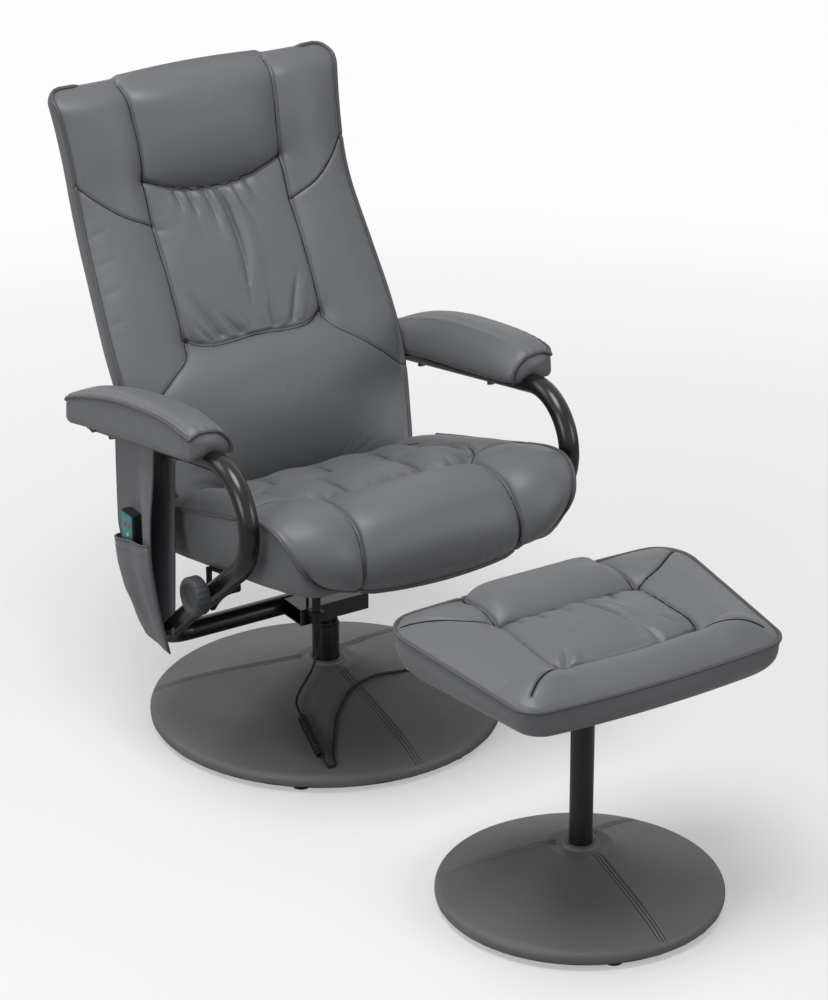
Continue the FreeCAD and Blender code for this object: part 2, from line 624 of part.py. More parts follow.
def back_layer(front, rear, inset, bottom, top):
    """A curved board that follows the backrest, between two depths behind its front edge line."""
    stations = [bottom, size.back_straight, size.back_straight + size.back_bend / 2,
                size.back_straight + size.back_bend, top]
    face_spots, rear_spots = [], []
    for along in stations:
        point, forward = back_station(along)
        face_spots.append(point - forward * front)
        rear_spots.append(point - forward * rear)

    def side(spots):
        return [Part.LineSegment(spots[0], spots[1]).toShape(),
                Part.Arc(spots[1], spots[2], spots[3]).toShape(),
                Part.LineSegment(spots[3], spots[4]).toShape()]
    edges = side(face_spots) + [Part.LineSegment(face_spots[4], rear_spots[4]).toShape()]
    edges += side(rear_spots) + [Part.LineSegment(rear_spots[0], face_spots[0]).toShape()]
    face = Part.Face(Part.Wire(Part.__sortEdges__(edges)))
    half = size.back_width / 2 - inset
    face.translate(Vector(-half, 0, 0))
    return face.extrude(Vector(2 * half, 0, 0))


def motor_spots(rows):
    """Vibration motors on the backrest's board, in pairs."""
    motors = []
    for along in rows:
        point, forward = back_station(along)
        for side in (-1, 1):
            spot = point - forward * size.back_front + X_AXIS * (side * size.motor_spacing / 2)
            motors.append(Part.makeCylinder(size.motor_radius, size.motor_thick, spot, forward))
    return motors


def backrest():
    board_front = size.back_front
    board_rear = size.back_front + size.back_board_thick
    inset = size.back_board_inset
    board = back_layer(board_front, board_rear, inset, 0, size.back_length - inset)
    # The lower corners draw in towards the foot.
    board_half = size.back_width / 2 - inset
    foot, shoulder = back_station(0)[0], back_station(size.back_foot_rise)[0]
    corner = prism_y([(board_half - size.board_foot_narrow, foot.z), (board_half, shoulder.z),
                      (board_half + inset, shoulder.z), (board_half + inset, foot.z - board_rear),
                      (board_half - size.board_foot_narrow, foot.z - board_rear)],
                     foot.y - size.back_length, foot.y + size.back_length)
    board = board.cut(corner).cut(mirrored(corner))
    bolts = []
    for side in (-1, 1):
        deep = side * (size.back_width / 2 - inset - size.pivot_depth)
        outer = side * (size.arm_x + size.tube_r)
        low_x, high_x = min(deep, outer), max(deep, outer)
        shank = cylinder_x(size.pivot_radius, low_x, high_x, size.pivot_y, size.pivot_z)
        head_far = outer + side * size.pivot_head
        head = cylinder_x(size.pivot_head_radius, min(outer, head_far), max(outer, head_far), size.pivot_y,
                          size.pivot_z)
        bolts.append(shank.fuse(head))
    for bolt in bolts:
        board = board.cut(bolt)

    # Shares of: length, half width, edge, bolster, valley and middle crown; then the rear's share.
    foot_power = 1.4
    back_shares = [(0, 1, -0.3, 0.2, 0.2, 0.75, 0.9), (0.05, 1, 0, 0.45, 0.3, 0.95, 1),
                   (0.13, 1, 0, 0.55, 0.42, 1, 1), (0.2, 1, 0, 0.6, 0.5, 1, 1), (0.31, 1, 0, 0.5, 0.4, 0.65, 1),
                   (0.35, 1, 0, 0.4, 0, -0.2, 1), (0.4, 0.995, 0, 0.6, 0.25, 0.35, 1),
                   (0.53, 0.985, 0, 0.7, 0.3, 0.65, 1), (0.66, 0.965, 0, 0.7, 0.25, 0.4, 1),
                   (0.715, 0.96, 0, 0.7, 0.1, -0.2, 1), (0.775, 0.96, 0, 0.72, 0.3, 0.7, 1),
                   (0.85, 0.97, 0, 0.72, 0.35, 0.97, 1), (0.945, 1, -0.05, 0.45, 0.35, 0.65, 1),
                   (0.985, 1.005, -0.4, 0.02, -0.1, 0.1, 1), (1, 1, -0.8, -0.62, -0.64, -0.58, 1)]
    crown = size.back_crown
    rings, cover_rings = [], []
    for along, width, edge, bolster, valley, apex, depth in back_shares:
        point, forward = back_station(along * size.back_length)
        drawn_share = max(0, 1 - along * size.back_length / size.back_foot_rise) ** foot_power
        half = size.back_width / 2 * width - size.back_foot_narrow * drawn_share
        marks = channelled(half, size.channel_half, edge * crown, bolster * crown, valley * crown, apex * crown,
                           -size.back_front - size.back_rear / 2, half)
        rings.append(ring_wire(point, X_AXIS, forward, marks))
        rear = -size.back_front - size.back_rear * depth
        fore = size.back_rear / 2 - size.back_front
        cover_rings.append(ring_wire(point, X_AXIS, forward,
                                     [(-half, fore), (half, fore), (half - size.back_rear / 2, rear),
                                      (size.back_rear / 2 - half, rear)]))
    low_motor_share, high_motor_share = 0.2, 0.53
    motors = motor_spots([size.back_length * low_motor_share, size.back_length * high_motor_share])
    # Both are trimmed at the board's own front face, so that they meet it and each other exactly.
    spare = size.back_front + size.back_crown
    behind = back_layer(board_front, board_front + spare, -spare, -spare, size.back_length + spare)
    ahead = back_layer(board_front - spare, board_front, -spare, -spare, size.back_length + spare)
    cushion = loft(rings).cut(behind)
    cover = loft(cover_rings).cut(ahead).cut(board)
    for bolt in bolts:
        room = cylinder_x(size.pivot_radius + size.seat_gap, bolt.BoundBox.XMin, bolt.BoundBox.XMax, size.pivot_y,
                          size.pivot_z)
        cover = cover.cut(room)
        cushion = cushion.cut(room)
    for motor in motors:
        cushion = cushion.cut(motor)
    chair_piece("back_board", board)
    chair_piece("back_cushion", cushion)
    chair_piece("pivot_bolts", Part.makeCompound(bolts))
    chair_piece("back_motors", Part.makeCompound(motors))

    # Plates from the board's rear face down to the seat hinge.
    point, forward = back_station(0)
    up = (back_station(size.back_straight)[0] - point).normalize()
    rear = point - forward * board_rear
    hinge = Vector(0, size.hinge_y, size.hinge_z)
    grip = up * (size.hinge_lug * 5)
    ear = forward * size.hinge_lug
    plates, pins = [], []
    for side in (-1, 1):
        low_x = side * size.lug_x - size.lug_thick / 2
        outline = [rear, rear + grip, rear + grip - ear, hinge - ear - up * size.hinge_lug * 0.7,
                   hinge + ear - up * size.hinge_lug * 0.7]
        strip = prism_x([(spot.y, spot.z) for spot in outline], low_x, low_x + size.lug_thick)
        pin_low = low_x - size.lug_thick - size.seat_gap
        pin = cylinder_x(size.hinge_radius, pin_low - size.lug_thick, low_x + 2 * size.lug_thick, size.hinge_y,
                         size.hinge_z)
        plates.append(strip.cut(pin))
        pins.append(pin)
    for strip in plates:
        cover = cover.cut(strip)
    chair_piece("back_cover", max(cover.Solids, key=lambda solid: solid.Volume))
    chair_piece("back_hinge_plates", Part.makeCompound(plates))
    chair_piece("hinge_pins", Part.makeCompound(pins))


def seat():
    board_front = size.seat_rear_y - size.seat_board_inset - size.seat_board_length
    board_rear = size.seat_rear_y - size.seat_board_inset
    half = size.seat_half - size.seat_board_inset
    board = prism_x([(board_rear, seat_low(board_rear)), (board_front, seat_low(board_front)),
                     (board_front, seat_low(board_front) + size.seat_board_thick),
                     (board_rear, seat_low(board_rear) + size.seat_board_thick)], -half, half)
    # Shares of: depth from rear to front, half width, low lift, edge height, bolster, valley, middle.
    seat_shares = [(0, 0.95, 0, 0.93, 0.35, 0.2, 0.54), (0.05, 0.97, 0, 0.92, 0.45, 0.25, 0.6),
                   (0.2, 0.99, 0, 0.85, 0.6, 0.37, 0.75), (0.4, 1, 0, 0.84, 0.79, 0.4, 1),
                   (0.56, 1, 0, 0.855, 0.75, 0.3, 0.75), (0.63, 1, 0, 0.863, 0.7, 0.05, -0.2),
                   (0.68, 1, 0, 0.86, 0.7, 0.1, 0.3), (0.77, 1, 0, 0.845, 0.69, 0.15, 0.65),
                   (0.88, 0.985, 0, 0.7, 0.65, 0.15, 0.58), (0.92, 0.965, -0.06, 0.54, 0.7, 0.35, 0.9),
                   (0.95, 0.88, -0.14, 0.24, 1.1, 1.3, 2.1), (0.985, 0.64, -0.12, 0.09, 0.6, 0.85, 1.7),
                   (1, 0.54, -0.09, 0.02, 0.16, 0.2, 0.6)]
    rings = []
    length = size.seat_rear_y - size.seat_front_y
    for along, width, lift, edge, bolster, valley, apex in seat_shares:
        lean = size.seat_rear_lean * max(0, 1 - along / 0.2) if along < 0.2 else 0
        y = size.seat_rear_y - along * length
        side = size.seat_side + size.seat_rise * along * length
        low = seat_low(y)
        top = side * edge
        half_here = size.seat_half * width
        crown = size.seat_crown
        marks = channelled(half_here, size.channel_half, top, top + bolster * crown, top + valley * crown,
                           top + apex * crown, side * lift, half_here * 0.97)
        slant = Vector(0, -lean / side, 1)
        rings.append(ring_wire(Vector(0, y, low), X_AXIS, slant, marks))
    thick = size.seat_board_thick
    recess = prism_x([(board_rear, seat_low(board_rear) - thick), (board_front, seat_low(board_front) - thick),
                      (board_front, seat_low(board_front) + thick), (board_rear, seat_low(board_rear) + thick)],
                     -half, half)
    cushion = loft(rings).cut(recess)
    motors = []
    for side in (-1, 1):
        spot = Vector(side * size.motor_spacing / 2, size.seat_motor_y,
                      seat_low(size.seat_motor_y) + size.seat_board_thick)
        square = Vector(0, size.seat_slope, 1).normalize()
        motors.append(Part.makeCylinder(size.motor_radius, size.motor_thick, spot, square))
    for motor in motors:
        cushion = cushion.cut(motor)
    motors = [motor.cut(board) for motor in motors]
    chair_piece("seat_board", board)
    chair_piece("seat_cushion", max(cushion.Solids, key=lambda solid: solid.Volume))
    chair_piece("seat_motors", Part.makeCompound(motors))

    lugs = []
    hinge = Vector(0, size.hinge_y, size.hinge_z)
    strap = size.hinge_lug
    for side in (-1, 1):
        low_x = side * size.lug_x - size.lug_thick / 2 - size.lug_thick - size.seat_gap
        front_y = board_rear - strap * 5
        rear_y = size.seat_rear_y + strap / 2
        outline = [(front_y, seat_low(front_y)), (rear_y, seat_low(rear_y) - size.seat_gap),
                   (hinge.y - strap * 0.8, hinge.z), (hinge.y - strap * 0.4, hinge.z + strap),
                   (hinge.y + strap * 0.6, hinge.z + strap * 0.8), (hinge.y + strap, hinge.z - strap * 0.4),
                   (rear_y + strap * 0.9, seat_low(rear_y) - strap), (front_y, seat_low(front_y) - strap)]
        lug = prism_x(outline, low_x, low_x + size.lug_thick)
        lugs.append(lug.cut(cylinder_x(size.hinge_radius + size.run_gap, low_x - size.lug_thick,
                                       low_x + 2 * size.lug_thick, hinge.y, hinge.z)))
    chair_piece("seat_hinge_lugs", Part.makeCompound(lugs))


def pocket():
    """Leatherette loop hung over the left arm tube, and the pouch sewn on its outer side."""
    thick = size.leather_thick
    outer_x = -size.arm_x - size.tube_r - size.pocket_hang
    inner_x = -size.arm_x + size.tube_r + size.pocket_hang
    axis_rise = size.top_slope
    join_z = size.pocket_low_z + (size.mouth_z - size.pocket_low_z) / 2
    low = size.pocket_low_z - size.tube_diameter
    top = size.arm_rear_z + axis_rise * (size.arm_rear_y - size.pocket_front_y) + size.tube_diameter
    # The loop's section: outer panel straight down, inner panel slanting out to meet it.
    loop = prism_y([(outer_x, top), (outer_x, low), (outer_x - 2 * thick, low), (outer_x - thick, join_z),
                    (outer_x - thick, top)], size.pocket_front_y - size.tube_diameter,
                   size.pocket_rear_y + size.tube_diameter)
    inner = prism_y([(inner_x + thick, top), (inner_x, top), (outer_x, join_z - thick), (outer_x, join_z + thick)],
                    size.pocket_front_y - size.tube_diameter, size.pocket_rear_y + size.tube_diameter)

    def tube_top(y, above):
        return size.arm_rear_z + axis_rise * (size.arm_rear_y - y) + above
    edge_front = pocket_edges()[0]
    edge_top = tube_top(edge_front, 0)
    outline = [(edge_front, edge_top), (size.pocket_front_y, size.pocket_low_z),
               (size.pocket_foot_y, size.pocket_low_z - thick * 3),
               (size.pocket_rear_y - size.pocket_cut, join_z - size.pocket_cut),
               (size.pocket_rear_y, size.mouth_z), (size.pocket_rear_y, tube_top(size.pocket_rear_y, 0))]
    blank = prism_x(outline, outer_x - size.tube_diameter, inner_x + size.tube_diameter)
    hanger = loop.fuse(inner).common(blank)
    # A saddle over the tube joins the two panels.
    wire = arm_wire()
    saddle = swept(wire, size.tube_r + size.pocket_hang + thick)
    saddle = saddle.cut(swept(wire, size.tube_r + size.pocket_hang))
    band = prism_x([(edge_front, edge_top), (size.pocket_rear_y, tube_top(size.pocket_rear_y, 0)),
                    (size.pocket_rear_y, tube_top(size.pocket_rear_y, size.tube_diameter)),
                    (edge_front, edge_top + size.tube_diameter)], outer_x - size.tube_diameter,
                   inner_x + size.tube_diameter)
    saddle = saddle.common(band)
    return hanger, saddle, outline, outer_x - thick, join_z


def build_pocket():
    hanger, saddle, outline, panel_x, join_z = pocket()
    thick = size.leather_thick
    hanger = max(hanger.fuse(saddle).Solids, key=lambda solid: solid.Volume)
    chair_piece("pocket_hanger", hanger)

    def pouch_body(inset, lift):
        bulge = panel_x - size.pocket_bulge + inset
        belly_share = 0.6
        return prism_y([(panel_x, size.mouth_z + lift), (bulge + thick * 2, size.mouth_z + lift),
                        (bulge, join_z + (size.mouth_z - join_z) * belly_share),
                        (bulge + thick * 3, join_z - thick * 4),
                        (panel_x - thick * 2 + inset, size.pocket_low_z + thick + inset),
                        (panel_x, size.pocket_low_z)],
                       size.pocket_front_y - size.tube_diameter, size.pocket_rear_y + size.tube_diameter)

    def pouch_blank(inset):
        front = size.pocket_front_y + inset
        rear = size.pocket_rear_y - size.pouch_edge - inset
        over_z = size.mouth_z + size.pocket_over
        rows = [(front + size.pocket_slant, over_z), (front + size.pouch_front_edge, size.pocket_low_z + inset),
                (size.pocket_foot_y - inset, size.pocket_low_z - thick * 2 + inset),
                (rear - size.pocket_cut, join_z - size.pocket_cut), (rear, size.mouth_z), (rear, over_z)]
        return prism_x(rows, panel_x - size.pocket_bulge * 2, panel_x)
    outer = pouch_body(0, 0).common(pouch_blank(0))
    hollow = pouch_body(thick, thick * 4).common(pouch_blank(thick * 1.5))
    pouch = outer.cut(hollow).cut(hanger)
    chair_piece("pocket_pouch", max(pouch.Solids, key=lambda solid: solid.Volume))

    rear_x = panel_x - size.seat_gap
    front_x = rear_x - size.handset_thick
    top = size.mouth_z + size.handset_show
    low_y = size.handset_y - size.handset_width / 2
    body = slab(Vector(front_x + size.face_thick, low_y, top - size.handset_length),
                Vector(rear_x, low_y + size.handset_width, top))
    upright = [edge for edge in body.Edges if abs(edge.Vertexes[0].Z - edge.Vertexes[1].Z) > size.handset_width]
    body = body.makeFillet(size.face_edge, upright)
    face = slab(Vector(front_x, low_y + size.face_edge, top - size.handset_length + size.face_edge),
                Vector(front_x + size.face_thick, low_y + size.handset_width - size.face_edge,
                       top - size.face_edge))
    row_z = top - size.button_row
    spots = {"button_red_rear": (size.handset_y + size.button_gap / 2, row_z),
             "button_red_front": (size.handset_y - size.button_gap / 2, row_z),
             "button_yellow": (size.handset_y - size.button_gap / 4, row_z - size.button_drop)}
    for label, (y, z) in spots.items():
        cap = cylinder_x(size.button_radius, front_x - size.button_proud, front_x + size.button_stem, y, z)
        hole = cylinder_x(size.button_radius + size.run_gap, front_x - size.button_proud,
                          front_x + size.button_stem + 2 * size.button_proud, y, z)
        body = body.cut(hole)
        face = face.cut(hole)
        chair_piece(label, cap)
    chair_piece("handset_body", body)
    chair_piece("handset_face", face)


def stool():
    dished_base("stool_base", "stool_dish_radius", "stool_dish_rise", "stool_column_r", STOOL)
    round_feet("stool_base_feet", size.stool_base_radius, 4, -110, size.stool_y)
    foot = "stool_dish_rise - dish_thick - flange_thick"
    turned("stool_column", [("stool_column_r - column_wall", foot), ("stool_column_r + flange_width", foot),
                            ("stool_column_r + flange_width", "stool_dish_rise - dish_thick"),
                            ("stool_column_r", "stool_dish_rise - dish_thick"),
                            ("stool_column_r", "stool_column_top"),
                            ("stool_column_r - column_wall", "stool_column_top")], STOOL)
    socket = "stool_column_r - column_wall - run_gap"
    turned("stool_spigot", [("0", "stool_column_top - stool_socket"), (socket, "stool_column_top - stool_socket"),
                            (socket, "stool_column_top"), ("stool_plate_width / 2", "stool_column_top"),
                            ("stool_plate_width / 2", "stool_column_top + stool_plate_thick"),
                            ("0", "stool_column_top + stool_plate_thick")], STOOL)
    low = size.stool_column_top + size.stool_plate_thick
    inset = size.stool_board_inset
    top = low + size.stool_board_thick
    corners = [Vector(-size.stool_rear_width / 2 + inset, size.stool_rear - inset, low),
               Vector(size.stool_rear_width / 2 - inset, size.stool_rear - inset, low),
               Vector(size.stool_front_width / 2 - inset, -size.stool_front + inset, low),
               Vector(-size.stool_front_width / 2 + inset, -size.stool_front + inset, low)]
    board = Part.Face(Part.makePolygon(corners + corners[:1])).extrude(Vector(0, 0, size.stool_board_thick))
    stool_piece("stool_board", board)
    # Shares of: depth from rear to front, half width, low lift, edge height, bolster, valley, middle.
    stool_shares = [(0, 0.86, 0.3, 0.72, 0.1, 0.02, 0.12), (0.02, 0.93, 0.12, 0.9, 0.35, 0.2, 0.5),
                    (0.07, 0.985, 0.02, 1, 0.5, 0.35, 0.8), (0.18, 1, 0, 1, 0.75, 0.45, 1),
                    (0.31, 1, 0, 1, 0.8, 0.4, 0.3), (0.5, 1, 0, 1, 0.85, 0.55, 0.7),
                    (0.77, 1, 0, 1, 0.75, 0.35, 0.25), (0.88, 0.98, 0.02, 1, 0.5, 0.35, 0.55),
                    (0.95, 0.92, 0.12, 0.9, 0.3, 0.15, 0.35), (1, 0.8, 0.3, 0.72, 0.1, 0.02, 0.12)]
    length = size.stool_rear + size.stool_front
    crown = size.stool_crown
    rings = []
    for along, width, lift, edge, bolster, valley, apex in stool_shares:
        y = size.stool_rear - along * length
        half = (size.stool_rear_width + along * (size.stool_front_width - size.stool_rear_width)) / 2 * width
        side = size.stool_side + size.stool_fall * (1 - along)
        top_z = side * edge
        marks = channelled(half, size.stool_channel, top_z, top_z + bolster * crown, top_z + valley * crown,
                           top_z + apex * crown, side * lift, half * 0.97)
        rings.append(ring_wire(Vector(0, y, low), X_AXIS, Vector(0, 0, 1), marks))
    recess = Part.Face(Part.makePolygon(corners + corners[:1]))
    deep = Vector(0, 0, size.stool_board_thick)
    recess = recess.extrude(deep).fuse(recess.extrude(deep * -1)).removeSplitter()
    cushion = loft(rings).cut(recess)
    stool_piece("stool_cushion", max(cushion.Solids, key=lambda solid: solid.Volume))
    return top


def biarc_wire(spots, tangents):
    """Two tangent arcs between each pair of points, so the whole wire is smooth."""
    def arc(start, tangent, finish):
        chord = finish - start
        along = chord.normalize() if chord.Length else chord
        length = (finish - start).Length
        off = tangent - along * tangent.dot(along)
        rise = length / 2 * math.tan(tangent.getAngle(along) / 2)
        return Part.Arc(start, (start + finish) / 2 + off.normalize() * rise, finish).toShape()
    edges = []
    for here, there, leave, arrive in zip(spots, spots[1:], tangents, tangents[1:]):
        span = there - here
        both = leave + arrive
        spread = 2 * (1 - leave.dot(arrive))
        reach = (math.sqrt(span.dot(both) ** 2 + spread * span.dot(span)) - span.dot(both)) / spread
        joint = (here + there + (leave - arrive) * reach) / 2
        edges.append(arc(here, leave, joint))
        edges.append(arc(there, arrive * -1, joint))
    return Part.Wire(edges)


def winding(label, spot_at, turns, radius):
    """A wound tube on biarcs of a quarter turn; prints its length and the least gap to itself."""
    step = 0.25
    nudge = 0.001
    count = round(turns / step)
    marks = [index * step for index in range(count + 1)]
    spots = [spot_at(mark) for mark in marks]
    tangents = []
    for mark in marks:
        before, after = spot_at(max(mark - nudge, 0)), spot_at(min(mark + nudge, turns))
        tangents.append((after - before).normalize())
    wire = biarc_wire(spots, tangents)
    fine = 24
    dots = [spot_at(index / fine) for index in range(round(turns * fine) + 1)]
    least = min((here - there).Length for index, here in enumerate(dots) for there in dots[index + fine * 3 // 4:])
    rod = swept(wire, radius)
    wanted = math.pi * radius ** 2 * wire.Length
    print(label, "length", round(wire.Length, 1), "least gap", round(least - 2 * radius, 2),
          "volume share", round(rod.Volume / wanted, 4))
    return rod


def cover_top(x, y):
    """Height of the chair base's cover at a place on its cone."""
    rim_reach = size.dish_radius - size.rim_bevel + size.cover_thick
    rim_z = size.base_rim + size.rim_drop + size.cover_thick
    share = (rim_reach - math.hypot(x, y)) / (rim_reach - size.land_radius)
    return rim_z + (size.base_rise - rim_z) * share


def on_cover(x, y, lift):
    return Vector(x, y, cover_top(x, y) + lift)


def power_lead():
    """The low-voltage lead: plug on the frame, curly stretch on the base, spare length coiled."""
    wire_r = size.lead_diameter / 2
    lie = wire_r + size.lead_lift
    clip_x, clip_y = size.clip_x, -size.box_depth / 2 - size.clip_reach
    joint_z = size.box_low + size.box_height / 2
    plug_low = joint_z - size.plug_length
    plug = Part.makeCone(wire_r, size.plug_radius, size.plug_length / 2, Vector(clip_x, clip_y, plug_low))
    plug = plug.fuse(Part.makeCylinder(size.plug_radius, size.plug_length / 2,
                                       Vector(clip_x, clip_y, joint_z - size.plug_length / 2)))
    socket_r = size.plug_radius + size.clip_wall / 4
    socket = Part.makeCylinder(socket_r, size.socket_length, Vector(clip_x, clip_y, joint_z))
    chair_piece("plug_connector", plug)
    chair_piece("socket_connector", socket)
    clip = slab(Vector(clip_x - socket_r - size.clip_wall, clip_y - socket_r - size.clip_wall,
                       joint_z + size.clip_wall),
                Vector(clip_x + socket_r + size.clip_wall, -size.box_depth / 2, size.box_top))
    chair_piece("lead_clip", clip.cut(socket))
    socket_top = Vector(clip_x, clip_y, joint_z + size.socket_length)
    over = Vector(0, 0, size.tail_loop)
    box_spot = Vector(clip_x, -size.box_depth / 2 + size.clip_reach, size.box_top)
    tail = [socket_top, socket_top + over, Vector(box_spot.x, box_spot.y, socket_top.z + size.tail_loop), box_spot]
    chair_piece("lead_tail", cord("lead_tail", tail, wire_r))

    # The curly stretch lies down the cover's slope toward the front left rim.
    curl_r = size.curl_radius + wire_r + size.lead_lift
    curl_start = on_cover(*CURL_START, curl_r)
    curl_end = on_cover(*CURL_END, curl_r)
    axis = (curl_end - curl_start).normalize()
    across = axis.cross(Vector(0, 0, 1)).normalize()
    normal = across.cross(axis)
    turns = size.curl_turns

    def curl_spot(turn):
        swell = min(turn, turns - turn, 1)
        radius = size.curl_radius * swell * swell * (3 - 2 * swell)
        angle = 2 * math.pi * turn
        return (curl_start + (curl_end - curl_start) * (turn / turns) + across * (radius * math.cos(angle))
                + normal * (radius * math.sin(angle)))
    chair_piece("power_lead_curl", winding("power_lead_curl", curl_spot, turns, wire_r))

    plug_end = Vector(clip_x, clip_y, plug_low)
    drop = [plug_end, plug_end - over, curl_start - axis * size.tail_loop + Vector(0, 0, size.lead_diameter),
            curl_start]
    chair_piece("power_lead_drop", cord("power_lead_drop", drop, wire_r))

    # Back over the cover, off its right rim and down to the coil on the floor.
    floor_z = size.tie_thick + size.coil_gap + wire_r
    pitch = size.lead_diameter + size.coil_gap
    half_turns = size.coil_turns / 2
    outer = size.coil_radius + pitch * half_turns / 2
    coil = Vector(*COIL_SPOT, floor_z)
    route = [curl_end]
    for index, (x, y) in enumerate(LEAD_ROUTE):
        if index:
            before_x, before_y = LEAD_ROUTE[index - 1]
            route.append(on_cover((before_x + x) / 2, (before_y + y) / 2, lie))
        route.append(on_cover(x, y, lie))
    route += [Vector(*spot) for spot in RIM_ROUTE] + [coil + Vector(outer, size.coil_radius, 0),
                                                     coil + Vector(outer, 0, 0)]
    chair_piece("power_lead_run", cord("power_lead_run", route, wire_r))

    def coil_spot(turn):
        inward = abs(turn - half_turns)
        radius = outer - pitch * (half_turns - inward)
        climb_share = 0.5
        climb = min(max((turn - half_turns) / climb_share + climb_share, 0), 1)
        angle = -2 * math.pi * turn
        return coil + Vector(radius * math.cos(angle), radius * math.sin(angle),
                             pitch * climb * climb * (3 - 2 * climb))
    chair_piece("power_lead_coil", winding("power_lead_coil", coil_spot, size.coil_turns, wire_r))
    leave = coil + Vector(outer, 0, pitch)
    body_x, body_y = ADAPTER_SPOT
    entry = Vector(body_x, body_y + size.adapter_length / 2, size.adapter_height / 2)
    tail_run = [leave, leave - Vector(0, size.coil_radius, 0), entry + Vector(0, size.coil_radius, 0), entry]
    chair_piece("power_lead_end", cord("power_lead_end", tail_run, wire_r))

    inner = outer - pitch * half_turns - wire_r - size.coil_gap
    wide = outer + wire_r + size.coil_gap
    top = floor_z + pitch + wire_r + size.coil_gap
    band = slab(Vector(-wide - size.tie_thick, -size.tie_width / 2, 0),
                Vector(-inner + size.tie_thick, size.tie_width / 2, top + size.tie_thick))
    band = band.cut(slab(Vector(-wide, -size.tie_width, size.tie_thick), Vector(-inner, size.tie_width, top)))
    band.rotate(Vector(), Vector(0, 0, 1), 90)
    band.translate(Vector(coil.x, coil.y, 0))
    chair_piece("coil_tie", band)
    half = Vector(size.adapter_width / 2, size.adapter_length / 2, 0)
    middle = Vector(body_x, body_y, 0)
    case = slab(middle - half, middle + half + Vector(0, 0, size.adapter_height))
    case = case.makeFillet(size.face_edge, case.Edges)
    for side in (-1, 1):
        pin = Part.makeCylinder(size.pin_radius, size.pin_length + size.face_edge,
                                middle + Vector(side * size.pin_spacing / 2, size.face_edge - half.y,
                                                size.adapter_height / 2), Vector(0, -1, 0))
        case = case.fuse(pin)
    chair_piece("power_adapter", case)


def wire_loop():
    """A small cable loop under the seat's rear left corner."""
    x = -size.seat_half + size.seat_board_inset * 2
    rear = size.seat_rear_y - size.seat_board_inset * 1.5
    front = rear - size.tail_loop
    drop = size.tail_loop / 2
    ease = size.loop_wire * size.seat_slope
    spots = [Vector(x, rear, seat_low(rear) - ease), Vector(x, rear, seat_low(rear) - drop),
             Vector(x, front, seat_low(front) - drop), Vector(x, front, seat_low(front) - ease)]
    chair_piece("seat_wire_loop", cord("seat_wire_loop", spots, size.loop_wire))


for build in (chair_base, swivel, arm_tubes_and_pads, clamp, guide_rails, backrest, seat, build_pocket, stool,
              power_lead, wire_loop):
    build()

document.recompute()
for item in document.Objects:
    if {"Invalid", "Error"} & set(item.State):
        raise RuntimeError(f"{item.Label} is not sound: {item.State}")
for item in nodes:
    if item.Shape.isNull() or not item.Shape.isValid() or not item.Shape.Solids:
        raise RuntimeError(f"{item.Label} has no sound shape")
os.makedirs("parts", exist_ok=True)
for item in nodes:
    item.Shape.exportStep(f"parts/{item.Label}.step")
    print(item.Label, len(item.Shape.Solids), round(item.Shape.Volume / 1000, 1))
print("chair axis y", round(size.chair_y, 3), "stool axis y", round(size.stool_y, 3),
      "pivot", round(size.chair_y + size.pivot_y, 3), round(size.pivot_z, 3),
      "hinge", round(size.chair_y + size.hinge_y, 3), round(size.hinge_z, 3),
      "stud", round(size.chair_y + size.stud_y, 3), round(size.stud_z, 3))
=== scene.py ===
"""Looks of the massage recliner with footstool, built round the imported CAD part.

Shapes are worked out in millimetres about the chair's or the stool's own axis and turned into metres, in
the part's frame, when their meshes are made.
"""

import json
import math

import bpy
import numpy as np
from mathutils import Matrix, Vector


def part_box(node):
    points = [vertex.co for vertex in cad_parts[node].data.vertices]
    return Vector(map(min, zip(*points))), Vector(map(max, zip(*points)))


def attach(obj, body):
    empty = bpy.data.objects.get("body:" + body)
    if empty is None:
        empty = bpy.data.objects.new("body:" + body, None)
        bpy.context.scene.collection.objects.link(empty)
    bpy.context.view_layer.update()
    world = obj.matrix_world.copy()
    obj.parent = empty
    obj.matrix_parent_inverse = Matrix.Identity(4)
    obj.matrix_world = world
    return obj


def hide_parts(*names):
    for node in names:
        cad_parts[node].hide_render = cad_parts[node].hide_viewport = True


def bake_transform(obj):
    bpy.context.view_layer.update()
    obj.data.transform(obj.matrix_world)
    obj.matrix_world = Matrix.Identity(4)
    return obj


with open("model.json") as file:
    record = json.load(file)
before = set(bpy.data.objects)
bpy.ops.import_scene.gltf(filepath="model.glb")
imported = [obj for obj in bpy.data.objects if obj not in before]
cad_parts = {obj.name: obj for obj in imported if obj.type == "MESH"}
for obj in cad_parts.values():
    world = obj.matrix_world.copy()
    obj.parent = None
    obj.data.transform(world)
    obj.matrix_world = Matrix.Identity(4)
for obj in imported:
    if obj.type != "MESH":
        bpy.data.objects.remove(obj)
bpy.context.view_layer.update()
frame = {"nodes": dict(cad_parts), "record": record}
MM = 0.001
LEAST = 1e-9


def axis_of(node):
    """The upright axis of a round base."""
    low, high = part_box(node)
    return np.array([0, ((low + high) / 2).y / MM, 0])


CHAIR, STOOL = axis_of("chair_base_cover"), axis_of("stool_base_cover")


# Small helpers for arrays of points.

def smooth(low, high, value):
    """0 below low, 1 above high, and an easy curve between."""
    share = np.clip((value - low) / (high - low), 0, 1)
    return share * share * (3 - 2 * share)


